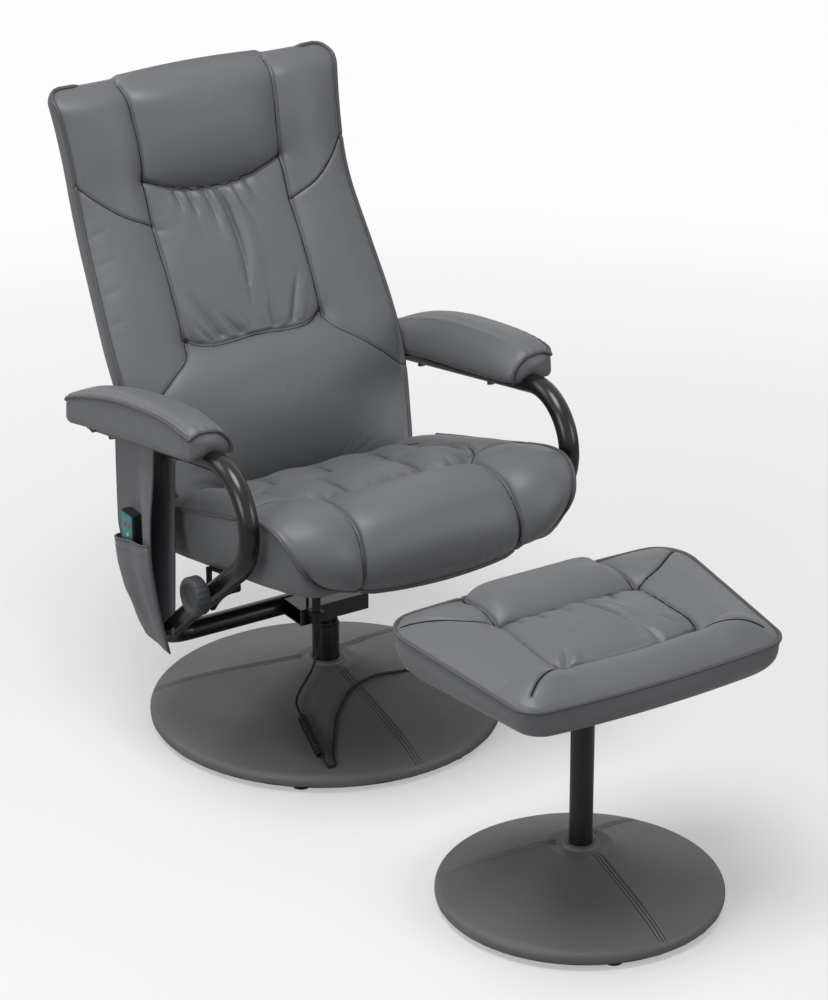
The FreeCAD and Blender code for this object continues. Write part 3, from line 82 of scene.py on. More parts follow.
def eased(table, where):
    """A value read from a table of (place, value) rows along a smooth curve."""
    places = np.array([row[0] for row in table], float)
    values = np.array([row[1:] for row in table], float)
    slopes = np.gradient(values, places, axis=0)
    where = np.clip(np.asarray(where, float), places[0], places[-1])
    index = np.clip(np.searchsorted(places, where) - 1, 0, len(places) - 2)
    gap = places[index + 1] - places[index]
    share = ((where - places[index]) / gap)[..., None]
    start, finish = values[index], values[index + 1]
    leave, arrive = slopes[index] * gap[..., None], slopes[index + 1] * gap[..., None]
    square, cube = share ** 2, share ** 3
    out = ((2 * cube - 3 * square + 1) * start + (cube - 2 * square + share) * leave
           + (3 * square - 2 * cube) * finish + (cube - square) * arrive)
    return out[..., 0] if out.shape[-1] == 1 else out


def swell(share):
    """0 at both ends of a share and 1 in its middle."""
    return 4 * share * (1 - share)


def unit(ways):
    return ways / np.maximum(np.linalg.norm(ways, axis=-1), LEAST)[..., None]


def way_along(points):
    """How far along a line of points each of them lies."""
    return np.r_[0, np.cumsum(np.linalg.norm(np.diff(points, axis=0), axis=1))]


def curve_points(points, count):
    """A smooth run of points through a few given ones."""
    points = np.asarray(points, float)
    steps = way_along(points)
    return eased(np.c_[steps, points], np.linspace(0, steps[-1], count))


def to_line(x, y, line):
    """Distance of grid points to a line of points, and the share along the line where it is nearest."""
    line = np.asarray(line, float)
    best = np.full(x.shape, np.inf)
    share = np.zeros(x.shape)
    pieces = len(line) - 1
    for index in range(pieces):
        start, reach = line[index], line[index + 1] - line[index]
        along = ((x - start[0]) * reach[0] + (y - start[1]) * reach[1]) / max(reach @ reach, LEAST)
        along = np.clip(along, 0, 1)
        far = np.hypot(x - start[0] - along * reach[0], y - start[1] - along * reach[1])
        nearer = far < best
        best = np.where(nearer, far, best)
        share = np.where(nearer, (index + along) / pieces, share)
    return best, share


def ripple(x, y, wave, seed):
    """A gentle uneven surface made of a few slanting waves, between -1 and 1."""
    total = np.zeros(x.shape)
    waves = 5
    for index in range(waves):
        turn = seed * 1.7 + index * 2.4
        length = wave * (0.7 + 0.23 * index)
        total += np.sin((x * math.cos(turn) + y * math.sin(turn)) / length * 2 * math.pi + turn * 3.1)
    return total / waves


def mirrored(lines):
    """The lines on the left and again on the right."""
    return list(lines) + [[(-spot[0], spot[1]) for spot in line] for line in lines]


def net(rows, columns, high=1.0):
    """Places down (0 to high) and across (-1 to 1) for every point of a grid."""
    down = np.linspace(0, high, rows)[:, None]
    across = np.linspace(-1, 1, columns)[None, :]
    return np.broadcast_arrays(down, across)


def add_object(name, data):
    item = bpy.data.objects.new(name, data)
    bpy.context.scene.collection.objects.link(item)
    return item


# Materials.

def new_material(name):
    material = bpy.data.materials.new(name)
    material.use_nodes = True
    return material, material.node_tree, material.node_tree.nodes["Principled BSDF"]


def plug(tree, node, sockets):
    """Sets each socket of a shader node to a value, or links it to another node's output."""
    for key, value in sockets.items():
        if isinstance(value, bpy.types.NodeSocket):
            tree.links.new(value, node.inputs[key])
        else:
            node.inputs[key].default_value = value
    return node


def add_node(tree, kind, sockets):
    return plug(tree, tree.nodes.new("ShaderNode" + kind), sockets)


def maths(tree, operation, first, second):
    node = add_node(tree, "Math", {0: first, 1: second})
    node.operation = operation
    return node.outputs["Value"]


def texture(tree, kind, scale, detail=2.0, output="Fac", **more):
    spot = add_node(tree, "TexCoord", {}).outputs["Object"]
    sockets = {"Vector": spot, "Scale": scale, "Detail": detail, **more}
    return add_node(tree, "Tex" + kind, sockets).outputs[output]


def ramp(tree, source, low, high, start=0.0, end=1.0):
    """Turns a value between start and end into one from low to high."""
    sockets = {"Value": source, "From Min": start, "From Max": end, "To Min": low, "To Max": high}
    return add_node(tree, "MapRange", sockets).outputs["Result"]


def tint(tree, color, source, spread):
    """The colour, made a little darker and lighter by a texture."""
    node = tree.nodes.new("ShaderNodeMix")
    node.data_type = "RGBA"
    darker, lighter = [(*[part * share for part in color], 1) for share in (1 - spread, 1 + spread)]
    return plug(tree, node, {"Factor": source, "A": darker, "B": lighter}).outputs["Result"]


def bump(tree, source, strength, depth, **under):
    sockets = {"Strength": strength, "Distance": depth, "Height": source, **under}
    return add_node(tree, "Bump", sockets).outputs["Normal"]


def leather(name, color, rough=0.46):
    """Synthetic leather: fine pebbled grain, soft uneven sheen, slight change of tone."""
    material, tree, shader = new_material(name)
    fine = texture(tree, "Noise", 70, 4)
    grain = texture(tree, "Voronoi", 620, output="Distance")
    plug(tree, shader, {
        "Base Color": tint(tree, color, texture(tree, "Noise", 9, 3), 0.07),
        "Roughness": ramp(tree, fine, rough - 0.06, rough + 0.08),
        "Normal": bump(tree, grain, 0.22, 0.0004, Normal=bump(tree, fine, 0.12, 0.0012)),
        "Specular IOR Level": 0.42,
        "Sheen Weight": 0.06,
    })
    return material


def coated(name, color, rough, shine=0.5, metallic=0.0, depth=0.0002):
    """Paint, plastic or metal with a faint texture."""
    material, tree, shader = new_material(name)
    fine = texture(tree, "Noise", 260, 3)
    plug(tree, shader, {
        "Base Color": tint(tree, color, texture(tree, "Noise", 24, 3), 0.1),
        "Roughness": ramp(tree, fine, rough * 0.8, rough * 1.2),
        "Normal": bump(tree, fine, 0.2, depth),
        "Specular IOR Level": shine,
        "Metallic": metallic,
    })
    return material


def plywood(name):
    material, tree, shader = new_material(name)
    wave = texture(tree, "Wave", 14, Distortion=6)
    plug(tree, shader, {
        "Base Color": tint(tree, (0.46, 0.31, 0.18), wave, 0.25),
        "Normal": bump(tree, wave, 0.1, 0.0005),
        "Roughness": 0.6,
    })
    return material


GREY = (0.108, 0.112, 0.12)
finishes = {
    "leatherette": leather("leatherette", GREY),
    "pocket_leatherette": leather("pocket_leatherette", (0.098, 0.1, 0.11), 0.5),
    "base_leatherette": leather("base_leatherette", (0.098, 0.098, 0.096), 0.5),
    # piping: the welts are the same leather, coloured at half its grey as painted shade for the shadow line
    # beside each welt.
    "piping": leather("piping", tuple(part * 0.5 for part in GREY), 0.5),
    "plywood": plywood("plywood"),
}
coats = {
    "black_tube": dict(color=(0.006, 0.006, 0.007), rough=0.24, shine=0.4, depth=0.00003),
    "sheet_steel": dict(color=(0.007, 0.007, 0.0075), rough=0.5, shine=0.12, depth=0.00003),
    "zinc": dict(color=(0.1, 0.1, 0.104), rough=0.4, metallic=1.0),
    "grey_plastic": dict(color=(0.034, 0.036, 0.04), rough=0.5, shine=0.3, depth=0.0001),
    "black_plastic": dict(color=(0.01, 0.01, 0.011), rough=0.45, shine=0.25),
    "lead_jacket": dict(color=(0.006, 0.006, 0.007), rough=0.5, shine=0.2),
    "teal_face": dict(color=(0.03, 0.2, 0.22), rough=0.35),
    "red_button": dict(color=(0.42, 0.03, 0.03), rough=0.4),
    "yellow_button": dict(color=(0.62, 0.5, 0.06), rough=0.4),
    # seam: near-black painted shade, laid as thin lines in the seam grooves where shadow falls.
    "seam": dict(color=(0.014, 0.0145, 0.016), rough=0.8, shine=0.1),
    "thread": dict(color=(0.13, 0.133, 0.143), rough=0.7),
}
for coat, look in coats.items():
    finishes[coat] = coated(coat, **look)
for row in frame["record"]["subparts"]:
    finish_list = frame["nodes"][row["node"]].data.materials
    finish_list.clear()
    finish_list.append(finishes[row["material_slot"]])


# Making pieces.

def mesh_object(name, points, faces, finish):
    """A smooth shaded object from points in metres."""
    mesh = bpy.data.meshes.new(name)
    mesh.from_pydata(points.tolist(), [], faces)
    mesh.update()
    mesh.polygons.foreach_set("use_smooth", [True] * len(mesh.polygons))
    mesh.materials.append(finishes[finish])
    return add_object(name, mesh)


def make_piece(name, points, faces, finish, body, axis, slot="leatherette"):
    """A mesh piece from points in millimetres about an axis; it rides on a body."""
    piece = mesh_object(name, (np.asarray(points) + axis) * MM, faces, finish)
    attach(piece, body)
    return piece


def as_faces(quads, flip):
    return [tuple(quad) for quad in (quads[:, ::-1] if flip else quads).tolist()]


def band_faces(loops, flip=False, first=0):
    """Faces between each two neighbouring loops of point numbers, from a given first corner on."""
    faces = []
    for here, after in zip(loops, loops[1:]):
        quads = np.stack([here, np.roll(here, -1), np.roll(after, -1), after], 1)
        faces += as_faces(np.roll(quads, -first, 1), flip)
    return faces


def loops_of(count, around):
    return list(np.arange(count * around).reshape(count, around))


def end_faces(loops):
    """The two faces that close the first and last loop."""
    return [tuple(loops[0].tolist())[::-1], tuple(loops[-1].tolist())]


def tube_mesh(points, radius, closed=False, sides=10):
    """Points and faces of a round tube along a line of points."""
    points = np.asarray(points, float)
    if closed:
        tangents = np.roll(points, -1, 0) - np.roll(points, 1, 0)
    else:
        tangents = np.r_[points[1:], points[-1:]] - np.r_[points[:1], points[:-1]]
    tangents = unit(tangents)
    any_way = [0.31, 0.22, 0.93]
    side = np.cross(tangents[0], any_way)
    angles = (np.arange(sides) / sides * 2 * math.pi)[:, None]
    rings = []
    for point, tangent in zip(points, tangents):
        side = unit(side - tangent * (side @ tangent))
        rings.append(point + radius * (np.cos(angles) * side + np.sin(angles) * np.cross(tangent, side)))
    loops = loops_of(len(points), sides)
    faces = band_faces(loops + loops[:1]) if closed else band_faces(loops) + end_faces(loops)
    return np.concatenate(rings), faces


def piping(name, points, radius, body, axis, closed=False):
    make_piece(name, *tube_mesh(points, radius, closed), "piping", body, axis)


def tubes(name, runs, radius, sides, finish, body, axis):
    """One piece made of thin tubes along several lines of points."""
    spots, faces, shift = [], [], 0
    for run in runs:
        more, quads = tube_mesh(run, radius, sides=sides)
        spots.append(more)
        faces += [tuple(index + shift for index in quad) for quad in quads]
        shift += len(more)
    make_piece(name, np.concatenate(spots), faces, finish, body, axis)


def stitches(name, line, body, axis, length, gap, radius):
    """A row of short thread stitches along a line of points."""
    steps = way_along(line)
    runs = []
    for start in np.arange(gap, steps[-1] - length, length + gap):
        places = np.linspace(start, start + length, 3)
        runs.append(np.stack([np.interp(places, steps, part) for part in line.T], 1))
    tubes(name, runs, radius, 5, "thread", body, axis)


def painted_seam_shade(name, runs, radius, body, axis):
    """Thin near-black lines along seams, evened out a little: painted shade for the shadowed seam grooves."""
    for run in runs:
        for _ in range(3):
            run[1:-1] = (run[:-2] + 2 * run[1:-1] + run[2:]) / 4
    tubes(name, runs, radius, 6, "seam", body, axis)


def rim_of(rows, columns):
    """The order of a grid's outer points, once round."""
    index = np.arange(rows * columns).reshape(rows, columns)
    return np.r_[index[0], index[1:, -1], index[-1, -2::-1], index[-2:0:-1, 0]]


def grid_faces(rows, columns, flip):
    index = np.arange(rows * columns).reshape(rows, columns)
    quads = np.stack([index[:-1, :-1], index[:-1, 1:], index[1:, 1:], index[1:, :-1]], -1)
    return as_faces(quads.reshape(-1, 4), flip)


def sample(grid, row, column):
    """Points of a grid at places between its rows and columns."""
    low_row = np.clip(np.floor(row).astype(int), 0, grid.shape[0] - 2)
    low_column = np.clip(np.floor(column).astype(int), 0, grid.shape[1] - 2)
    down, across = (row - low_row)[:, None], (column - low_column)[:, None]
    upper = grid[low_row, low_column] * (1 - across) + grid[low_row, low_column + 1] * across
    lower = grid[low_row + 1, low_column] * (1 - across) + grid[low_row + 1, low_column + 1] * across
    return upper * (1 - down) + lower * down


def closed_cushion(name, top, bottom, bulge, rings, body, axis, flip=False, finish="leatherette"):
    """A closed form from a top grid and a bottom grid, joined by a side band that swells a little.

    Gives the piece and the line on which its welt lies.
    """
    welt_stand = 1.7
    inward_shares = (0.04, 0.15, 0.32, 0.52, 0.72, 0.9)
    rows, columns = top.shape[:2]
    rim = rim_of(rows, columns)
    upper, edge = top.reshape(-1, 3), top.reshape(-1, 3)[rim]
    down = bottom.reshape(-1, 3)[rim] - edge
    down_way = unit(down)
    out = edge - edge.mean(0)
    out = unit(out - down_way * (out * down_way).sum(1)[:, None])
    spots = [upper]
    for share in np.arange(1, rings + 1) / rings:
        spots.append(edge + down * share + out * (bulge * math.sin(math.pi * share)))
    middle_row, middle_column = (rows - 1) / 2, (columns - 1) / 2
    for share in inward_shares:
        spots.append(sample(bottom, middle_row + (rim // columns - middle_row) * (1 - share),
                            middle_column + (rim % columns - middle_column) * (1 - share)))
    spots.append(sample(bottom, np.array([middle_row]), np.array([middle_column])))
    loops = [rim] + [rows * columns + loop for loop in loops_of(rings + len(inward_shares), len(rim))]
    faces = grid_faces(rows, columns, flip) + band_faces(loops, not flip, 1)
    centre = int(loops[-1][-1]) + 1
    for here, after in zip(loops[-1].tolist(), np.roll(loops[-1], -1).tolist()):
        faces.append((after, centre, here) if flip else (here, centre, after))
    piece = make_piece(name, np.concatenate(spots), faces, finish, body, axis)
    return piece, edge + out * welt_stand


def outward(grid, flip):
    """Unit vectors away from a grid's outer side."""
    way = unit(np.cross(np.gradient(grid, axis=1), np.gradient(grid, axis=0)))
    return -way if flip else way


def nearness(x, y, lines, reach):
    """1 on the given lines, falling to 0 within a few reaches of them."""
    near = np.zeros(x.shape)
    for line in lines:
        near = np.maximum(near, np.exp(-(to_line(x, y, line)[0] / reach) ** 2))
    return near


CLOTH = {"quality": 5, "mass": 0.15, "air_damping": 4, "tension_stiffness": 22, "compression_stiffness": 22,
         "shear_stiffness": 10, "bending_stiffness": 1.2, "use_pressure": True, "uniform_pressure_force": 4.0,
         "vertex_group_mass": "held", "pin_stiffness": 6, "vertex_group_shrink": "slack", "shrink_min": 0}
CLOTH_FRAMES = 20
CLOTH_STEP = 2
MOST_MOVE = 24.0


def refined(values, places, count):
    """Rows of a coarse grid's values, read at every place of the full one."""
    rows = eased([(place, *row.ravel()) for place, row in zip(places, values)], np.arange(count))
    return rows.reshape(count, *values.shape[1:])


def swollen(top, held, slack, flip):
    """The grid after a cloth simulation, in which spare cloth swells between the points that are held."""
    rows, columns = [np.unique(np.r_[np.arange(0, size, CLOTH_STEP), size - 1]) for size in top.shape[:2]]
    pick = np.ix_(rows, columns)
    coarse, most = top[pick], float(slack.max())
    mesh = bpy.data.meshes.new("cloth")
    mesh.from_pydata((coarse.reshape(-1, 3) * MM).tolist(), [], grid_faces(len(rows), len(columns), flip))
    piece = add_object("cloth", mesh)
    for label, weights in (("held", held[pick].ravel()), ("slack", slack[pick].ravel() / most)):
        group = piece.vertex_groups.new(name=label)
        for index, weight in enumerate(weights.tolist()):
            group.add([index], weight, "REPLACE")
    cloth = piece.modifiers.new("cloth", "CLOTH")
    for label, value in CLOTH.items():
        setattr(cloth.settings, label, value)
    cloth.settings.shrink_max = -most
    cloth.settings.effector_weights.gravity = 0
    cloth.collision_settings.use_collision = False
    cloth.point_cache.frame_start = 1
    cloth.point_cache.frame_end = CLOTH_FRAMES
    for number in range(1, CLOTH_FRAMES + 1):
        bpy.context.scene.frame_set(number)
    shown = piece.evaluated_get(bpy.context.evaluated_depsgraph_get()).data
    moved = np.empty(len(shown.vertices) * 3)
    shown.vertices.foreach_get("co", moved)
    moved = moved.reshape(coarse.shape) / MM - coarse
    bpy.data.objects.remove(piece)
    bpy.context.scene.frame_set(1)
    moved = moved * MOST_MOVE / np.maximum(np.linalg.norm(moved, axis=-1), MOST_MOVE)[..., None]
    tall = refined(moved, rows, top.shape[0])
    return top + refined(tall.transpose(1, 0, 2), columns, top.shape[1]).transpose(1, 0, 2)


# Seams come in groups: how deep and how wide the sewn line is pressed in, and rows of lines with the depth
# and the width of the soft crease along them.

def seam_lines(groups):
    return [line for _, _, rows in groups for lines, _, _ in rows for line in lines]


def creased(height, x, y, groups):
    """A height lowered softly along sewn lines."""
    for _, _, rows in groups:
        for lines, depth, width in rows:
            for line in lines:
                height = height - depth * np.exp(-to_line(x, y, line)[0] / width)
    return height


def sewn(top, x, y, groups, flip):
    """The grid with narrow sewn lines pressed into it."""
    for depth, width, rows in groups:
        lines = [line for row in rows for line in row[0]]
        top = top - outward(top, flip) * (depth * nearness(x, y, lines, width))[..., None]
    return top


def folds(x, y, lines):
    """Soft folds: each has a line of points, a width and a depth, and fades out at its end."""
    height = np.zeros(x.shape)
    for line, width, depth in lines:
        far, share = to_line(x, y, line)
        fade = (0.5 + 0.5 * smooth(0, 0.1, share)) * (1 - smooth(0.3, 1, share))
        height = height - depth * fade * np.exp(-far / (0.55 * width))
        height = height + depth * 0.42 * fade * np.exp(-((far - 1.5 * width) / width) ** 2)
    return height


def fold_rows(table, deepen=1.3, count=12):
    return [(curve_points(line, count), width, deepen * depth) for line, width, depth in table]


def surface_finder(top, x, s, flip):
    """A function that puts lines of (x, s) places just above a finished surface."""
    way = outward(top, flip)
    cell = 1.2
    across = np.gradient(top, axis=1) / np.gradient(x, axis=1)[..., None]
    along = np.gradient(top, axis=0) / np.gradient(s, axis=0)[..., None]

    def find(line, lift):
        out = []
        for spot in line:
            far = (x - spot[0]) ** 2 + (s - spot[1]) ** 2
            here = np.unravel_index(np.argmin(far), far.shape)
            step_x = np.clip(spot[0] - x[here], -cell, cell)
            step_s = np.clip(spot[1] - s[here], -cell, cell)
            out.append(top[here] + way[here] * lift + across[here] * step_x + along[here] * step_s)
        return np.array(out)
    return find


def upholster(name, top, bottom, x, s, groups, rim_gap, slack, form):
    """Swells, sews and closes a cushion, draws near-black lines of painted shade along its seams, and gives
    the line of its welt.
    """
    seam_reach, rim_reach, shade_line_radius, shade_line_points = 4, 5, 0.85, 140
    body, axis, flip = form["body"], form["axis"], form["flip"]
    held = np.maximum(nearness(x, s, seam_lines(groups), seam_reach), 1 - smooth(0, rim_reach, rim_gap))
    top = sewn(swollen(top, held, slack, flip), x, s, groups, flip)
    piece, welt = closed_cushion(name + "_upholstery", top, bottom, form["bulge"], form["rings"], body, axis,
                                 flip)
    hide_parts(*form["stands_for"])
    # The near-black lines along the seams are painted shade for the shadowed grooves.
    find = surface_finder(top, x, s, flip)
    runs = [find(curve_points(line, shade_line_points), form["shade_line_lift"]) for line in seam_lines(groups)]
    painted_seam_shade(name + "_seams", runs, shade_line_radius, body, axis)
    return welt


def rounded_half(half, s, length, corner):
    """Half width that draws in round the corner at the far end."""
    left = np.clip(corner - (length - s), 0, corner)
    return half - corner + np.sqrt(np.maximum(corner ** 2 - left ** 2, 0))




# The backrest. Places on it are across (x) and along its front edge line from the bottom (s).
BACK = {"length": 672.0, "straight": 410.0, "bend": 110.0, "low": 31.7, "high": 14.4, "set": 36.0,
        "below": 150.0, "depth": 49.0, "corner": 24.0, "head_rise": 9.0, "top_drop": 36.0, "channel": 127.0,
        "channel_spread": 8.0, "welt": 3.3, "welt_sink": 11.0}
BACK_FORM = {"body": "back", "axis": CHAIR, "flip": False, "bulge": 3.0, "rings": 8, "fill": 0.7,
             "stands_for": ("back_cushion", "back_cover"), "shade_line_lift": 0.75}
PIVOT = np.array([0, 192.0, 502.374])
BACK_HALF = [(0, 214), (17, 219), (58, 229), (118, 243), (190, 253), (240, 254), (330, 250), (400, 246),
             (470, 243), (540, 244), (610, 249), (672, 256), (690, 257)]
BACK_MIDDLE = [(0, -26), (30, -9), (60, 7), (100, 23), (140, 31), (180, 28), (222, 14), (236, 8), (252, 9),
               (290, 12), (350, 14), (430, 11), (465, 8), (482, 7), (500, 15), (540, 25), (590, 29),
               (630, 26), (655, 18), (690, 4)]
BACK_BOLSTER = [(0, 6), (130, 15), (236, 13), (330, 17), (430, 18), (520, 18), (580, 18), (630, 13), (690, 2)]
BACK_VALLEY = [(0, 8), (130, 13), (236, 6), (330, 11), (430, 10), (520, 11), (580, 12), (630, 9), (690, 0)]
# The seams on the left half, or right across: beside the middle panel, round the lower back, over the
# bolster, and above and below the middle panel.
BACK_CHANNEL = [(-127, 240), (-127, 400), (-127, 560), (-134, 664)]
BACK_SKIRT = [(-124, 244), (-137, 217), (-168, 191), (-239, 133), (-254, 121)]
BACK_CROSS = [(-246, 522), (-215, 488), (-175, 455), (-127, 434)]
BACK_HEAD = [(-127, 507), (-70, 487), (0, 479), (70, 487), (127, 507)]
BACK_FOOT = [(-126, 246), (-112, 237), (0, 231), (112, 237), (126, 246)]
BACK_LOWER = [(0, 236), (124, 238), (137, 217), (168, 191), (239, 133), (256, 119)]
# Where the middle panel folds: lines of places, widths and depths.
BACK_FOLDS = [
    ([(4, 480), (11, 432), (13, 366), (5, 308), (-4, 236)], 12, 8.5),
    ([(66, 234), (86, 286), (112, 345)], 9, 4),
    ([(36, 233), (34, 262), (42, 304)], 9, 2.6),
    ([(-62, 234), (-92, 290), (-112, 339)], 12, 5),
    ([(-25, 232), (-55, 268), (-84, 300)], 11, 4),
    ([(-112, 238), (-120, 268), (-122, 306)], 8, 3),
    ([(-88, 236), (-104, 262), (-114, 290)], 8, 2.6),
    ([(-76, 489), (-72, 466), (-70, 440)], 7, 3.6),
    ([(-54, 485), (-48, 458), (-46, 424)], 8, 4.6),
    ([(-23, 481), (-17, 446), (-16, 400)], 8, 5),
    ([(-6, 480), (-3, 462), (-2, 440)], 6, 3),
    ([(30, 481), (34, 454), (44, 416)], 8, 4.2),
    ([(54, 485), (60, 464), (72, 436)], 8, 3),
    ([(-126, 428), (-112, 424), (-98, 424)], 8, 1.4),
]


def back_line(s):
    """Points on the backrest's front edge line and the way forward from each."""
    low, high = math.radians(BACK["low"]), math.radians(BACK["high"])
    start = PIVOT + BACK["set"] * np.array([0, -math.cos(low), math.sin(low)])
    start = start - BACK["below"] * np.array([0, math.sin(low), math.cos(low)])
    radius = BACK["bend"] / (low - high)
    straight = np.minimum(s, BACK["straight"])
    bent = np.clip(s - BACK["straight"], 0, BACK["bend"])
    tail = np.maximum(s - BACK["straight"] - BACK["bend"], 0)
    tilt = low - bent / radius
    y = start[1] + straight * math.sin(low) + radius * (np.cos(tilt) - math.cos(low)) + tail * np.sin(tilt)
    z = start[2] + straight * math.cos(low) + radius * (math.sin(low) - np.sin(tilt)) + tail * np.cos(tilt)
    point = np.stack([np.zeros_like(y), y, z], -1)
    forward = np.stack([np.zeros_like(y), -np.cos(tilt), np.sin(tilt)], -1)
    return point, forward


def read_off(table, place):
    """A value read from a table along straight lines."""
    return np.interp(place, *np.transpose(table))


def make_back():
    rows, columns = 321, 241
    v, u = net(rows, columns)
    headed = 1 - smooth(0.49, 0.55, np.abs(u))
    s = v * (BACK["length"] + BACK["head_rise"] * headed * (1.2 - (u / 0.5) ** 2 * 0.5))
    full = eased(BACK_HALF, s)
    half = rounded_half(full, s, BACK["length"], BACK["corner"])
    x = u * (full - (full - half) * smooth(0.6, 1, np.abs(u)))
    wide = np.abs(x)
    # Puffs: a middle panel between two bolsters, and one plain cushion below them.
    channel = BACK["channel"] + BACK["channel_spread"] * smooth(560, BACK["length"], s)
    centre = np.clip(wide / channel, 0, 1)
    side = np.clip((wide - channel) / (half - channel), 0, 1)
    middle, valley, bolster = [eased(table, s) for table in (BACK_MIDDLE, BACK_VALLEY, BACK_BOLSTER)]
    panelled = np.where(wide > channel, valley * (1 - side) + (bolster - valley / 2) * swell(side),
                        valley + (middle - valley) * (1 - centre ** 3))
    plain = middle * (1 - (wide / half) ** 2.6)
    mix = smooth(-6, 6, s - read_off(BACK_LOWER, wide))
    edge = smooth(0, 9, half - wide)
    height = (plain * (1 - mix) + panelled * mix) * edge
    head, foot = curve_points(BACK_HEAD, 24), curve_points(BACK_FOOT, 24)
    groups = [
        (4.2, 2.8, [(mirrored([BACK_CHANNEL]), 6.5, 14), ([head], 9, 12), ([foot], 6, 11)]),
        (2.4, 2.2, [(mirrored([curve_points(BACK_SKIRT, 24)]), 4, 11),
                    (mirrored([curve_points(BACK_CROSS, 16)]), 1.6, 6)]),
    ]
    height = creased(height, x, s, groups)
    inside = (smooth(0, 10, BACK["channel"] - wide) * smooth(0, 4, s - read_off(BACK_FOOT, wide))
              * smooth(0, 4, read_off(BACK_HEAD, wide) - s))
    height = height + inside * (folds(x, s, fold_rows(BACK_FOLDS)) + ripple(x, s, 80, 2))
    tucks = []
    for along in range(292, 437, 48):
        for tuck in ([(-246, along), (-222, along + 5), (-196, along + 12)],
                     [(246, along - 12), (222, along - 6), (196, along + 4)]):
            tucks.append((tuck, 9, 0.5))
    height = height + folds(x, s, fold_rows(tucks, 1, 6))
    height = (height + 0.8 * ripple(x, s, 150, 1)) * edge
    height = height - BACK["top_drop"] * smooth(620, 684, s) ** 2
    point, forward = back_line(s)
    across = np.stack([x, np.zeros_like(x), np.zeros_like(x)], -1)
    top = point + across + forward * height[..., None]
    low_inset, low_drop = 7, 3
    low_point, low_forward = back_line(np.minimum(s, BACK["length"] - low_drop))
    bottom = low_point + across * (1 - low_inset / half)[..., None] - low_forward * BACK["depth"]
    rim_gap = np.minimum(half - wide, np.minimum(s, BACK["length"] - s))
    welt = upholster("back", top, bottom, x, s, groups, rim_gap, 0.01 + 0.03 * inside, BACK_FORM)
    # The welt shows round the sides and the foot; at the top, where the panels roll over, it sinks in.
    place = np.arange(len(welt))
    top_first, top_last = columns + rows - 2, 2 * columns + rows - 3
    sink = BACK["welt_sink"] * smooth(12, 40, place - top_first) * smooth(12, 40, top_last - place)
    welt = welt - sink[:, None] * (back_line(np.array([BACK["length"]]))[1] + np.array([0, 0, 1]))
    piping("back_piping", welt, BACK["welt"], "back", CHAIR, closed=True)


# The seat. Each row of a table is a place from rear to front, with its x, y and z there.
SEAT_EDGE = [(0, 254, 66, 405), (1, 261, 10, 420), (2, 263, -56, 438), (3, 264, -130, 459),
             (4, 265, -200, 480), (5, 264, -252, 492), (6, 262, -290, 491), (7, 256, -318, 474),
             (8, 243, -333, 443), (9, 216, -330, 410), (10, 176, -318, 388)]
SEAT_CHANNEL = [(0, 128, 56, 410), (1, 130, 8, 430), (2, 132, -60, 450), (3, 133, -135, 472),
                (4, 134, -203, 487), (5, 135, -245, 496), (6, 136, -290, 494), (7, 137, -325, 477),
                (8, 140, -348, 442), (9, 139, -352, 406), (10, 118, -338, 378)]
SEAT_MIDDLE = [(0, 0, 56, 412), (1, 0, 5, 432), (2, 0, -62, 451), (3, 0, -135, 472), (4, 0, -196, 484),
               (5, 0, -245, 504), (6, 0, -293, 504), (7, 0, -333, 486), (8, 0, -355, 446), (9, 0, -357, 405),
               (10, 0, -346, 374)]
SEAT_LOW = [(0, 248, 90, 322.5), (1, 252, 20, 333.5), (2, 253, -60, 348.5), (3, 253, -130, 361.5),
            (4, 253, -190, 372.5), (5, 251, -240, 380.5), (6, 246, -272, 385), (7, 238, -296, 385.5),
            (8, 222, -314, 384), (9, 200, -318, 380), (10, 172, -312, 378)]
SEAT_SWELL = [(0, 8), (2, 13), (3.4, 13), (3.8, 9), (4.4, 12), (6, 15), (8, 17), (9.2, 11), (10, 3)]
SEAT_FORM = {"body": "seat", "axis": CHAIR, "flip": True, "bulge": 4.0, "rings": 8, "fill": 0.75,
             "stands_for": ("seat_cushion",), "shade_line_lift": 0.75}
SEAT_WELT = 3.2
# Lines on the seat, as x and a place from rear to front; the tufted part ends at the roll.
SEAT_ROLL, SEAT_REAR_ROW, SEAT_REAR, SEAT_FRONT = 3.95, 1.95, 0.35, 9.7
SEAT_SIDE_LINE = [(-136, SEAT_ROLL), (-136, 5), (-137, 7), (-141, 8.6), (-139, 10)]
TUFT_SIDE_LINE = [(-136, SEAT_ROLL), (-166, 3.6), (-182, 2.4), (-176, 1.2), (-158, 0.2)]
SEAT_CROSS_LINE = [(-264, 3.62), (-215, 3.66), (-166, 3.62)]
TUFT_HALF = [(0, 160), (1.2, 176), (2.4, 182), (3.6, 166), (SEAT_ROLL, 140)]
FRONT_TUFTS, REAR_TUFTS = [-176, -68, 71, 176], [-172, -104, -4, 98, 172]
TUFT_STARTS = (-146, -112, -88, -50, -28, 10, 36, 56, 92, 118, 150)


def pillow(place, edges):
    """A swell between 0 and 1 in each cell that the edges mark off."""
    total = np.zeros(place.shape)
    for low, high in zip(edges, edges[1:]):
        total = total + swell(np.clip((place - low) / (high - low), 0, 1)) ** 0.6
    return total


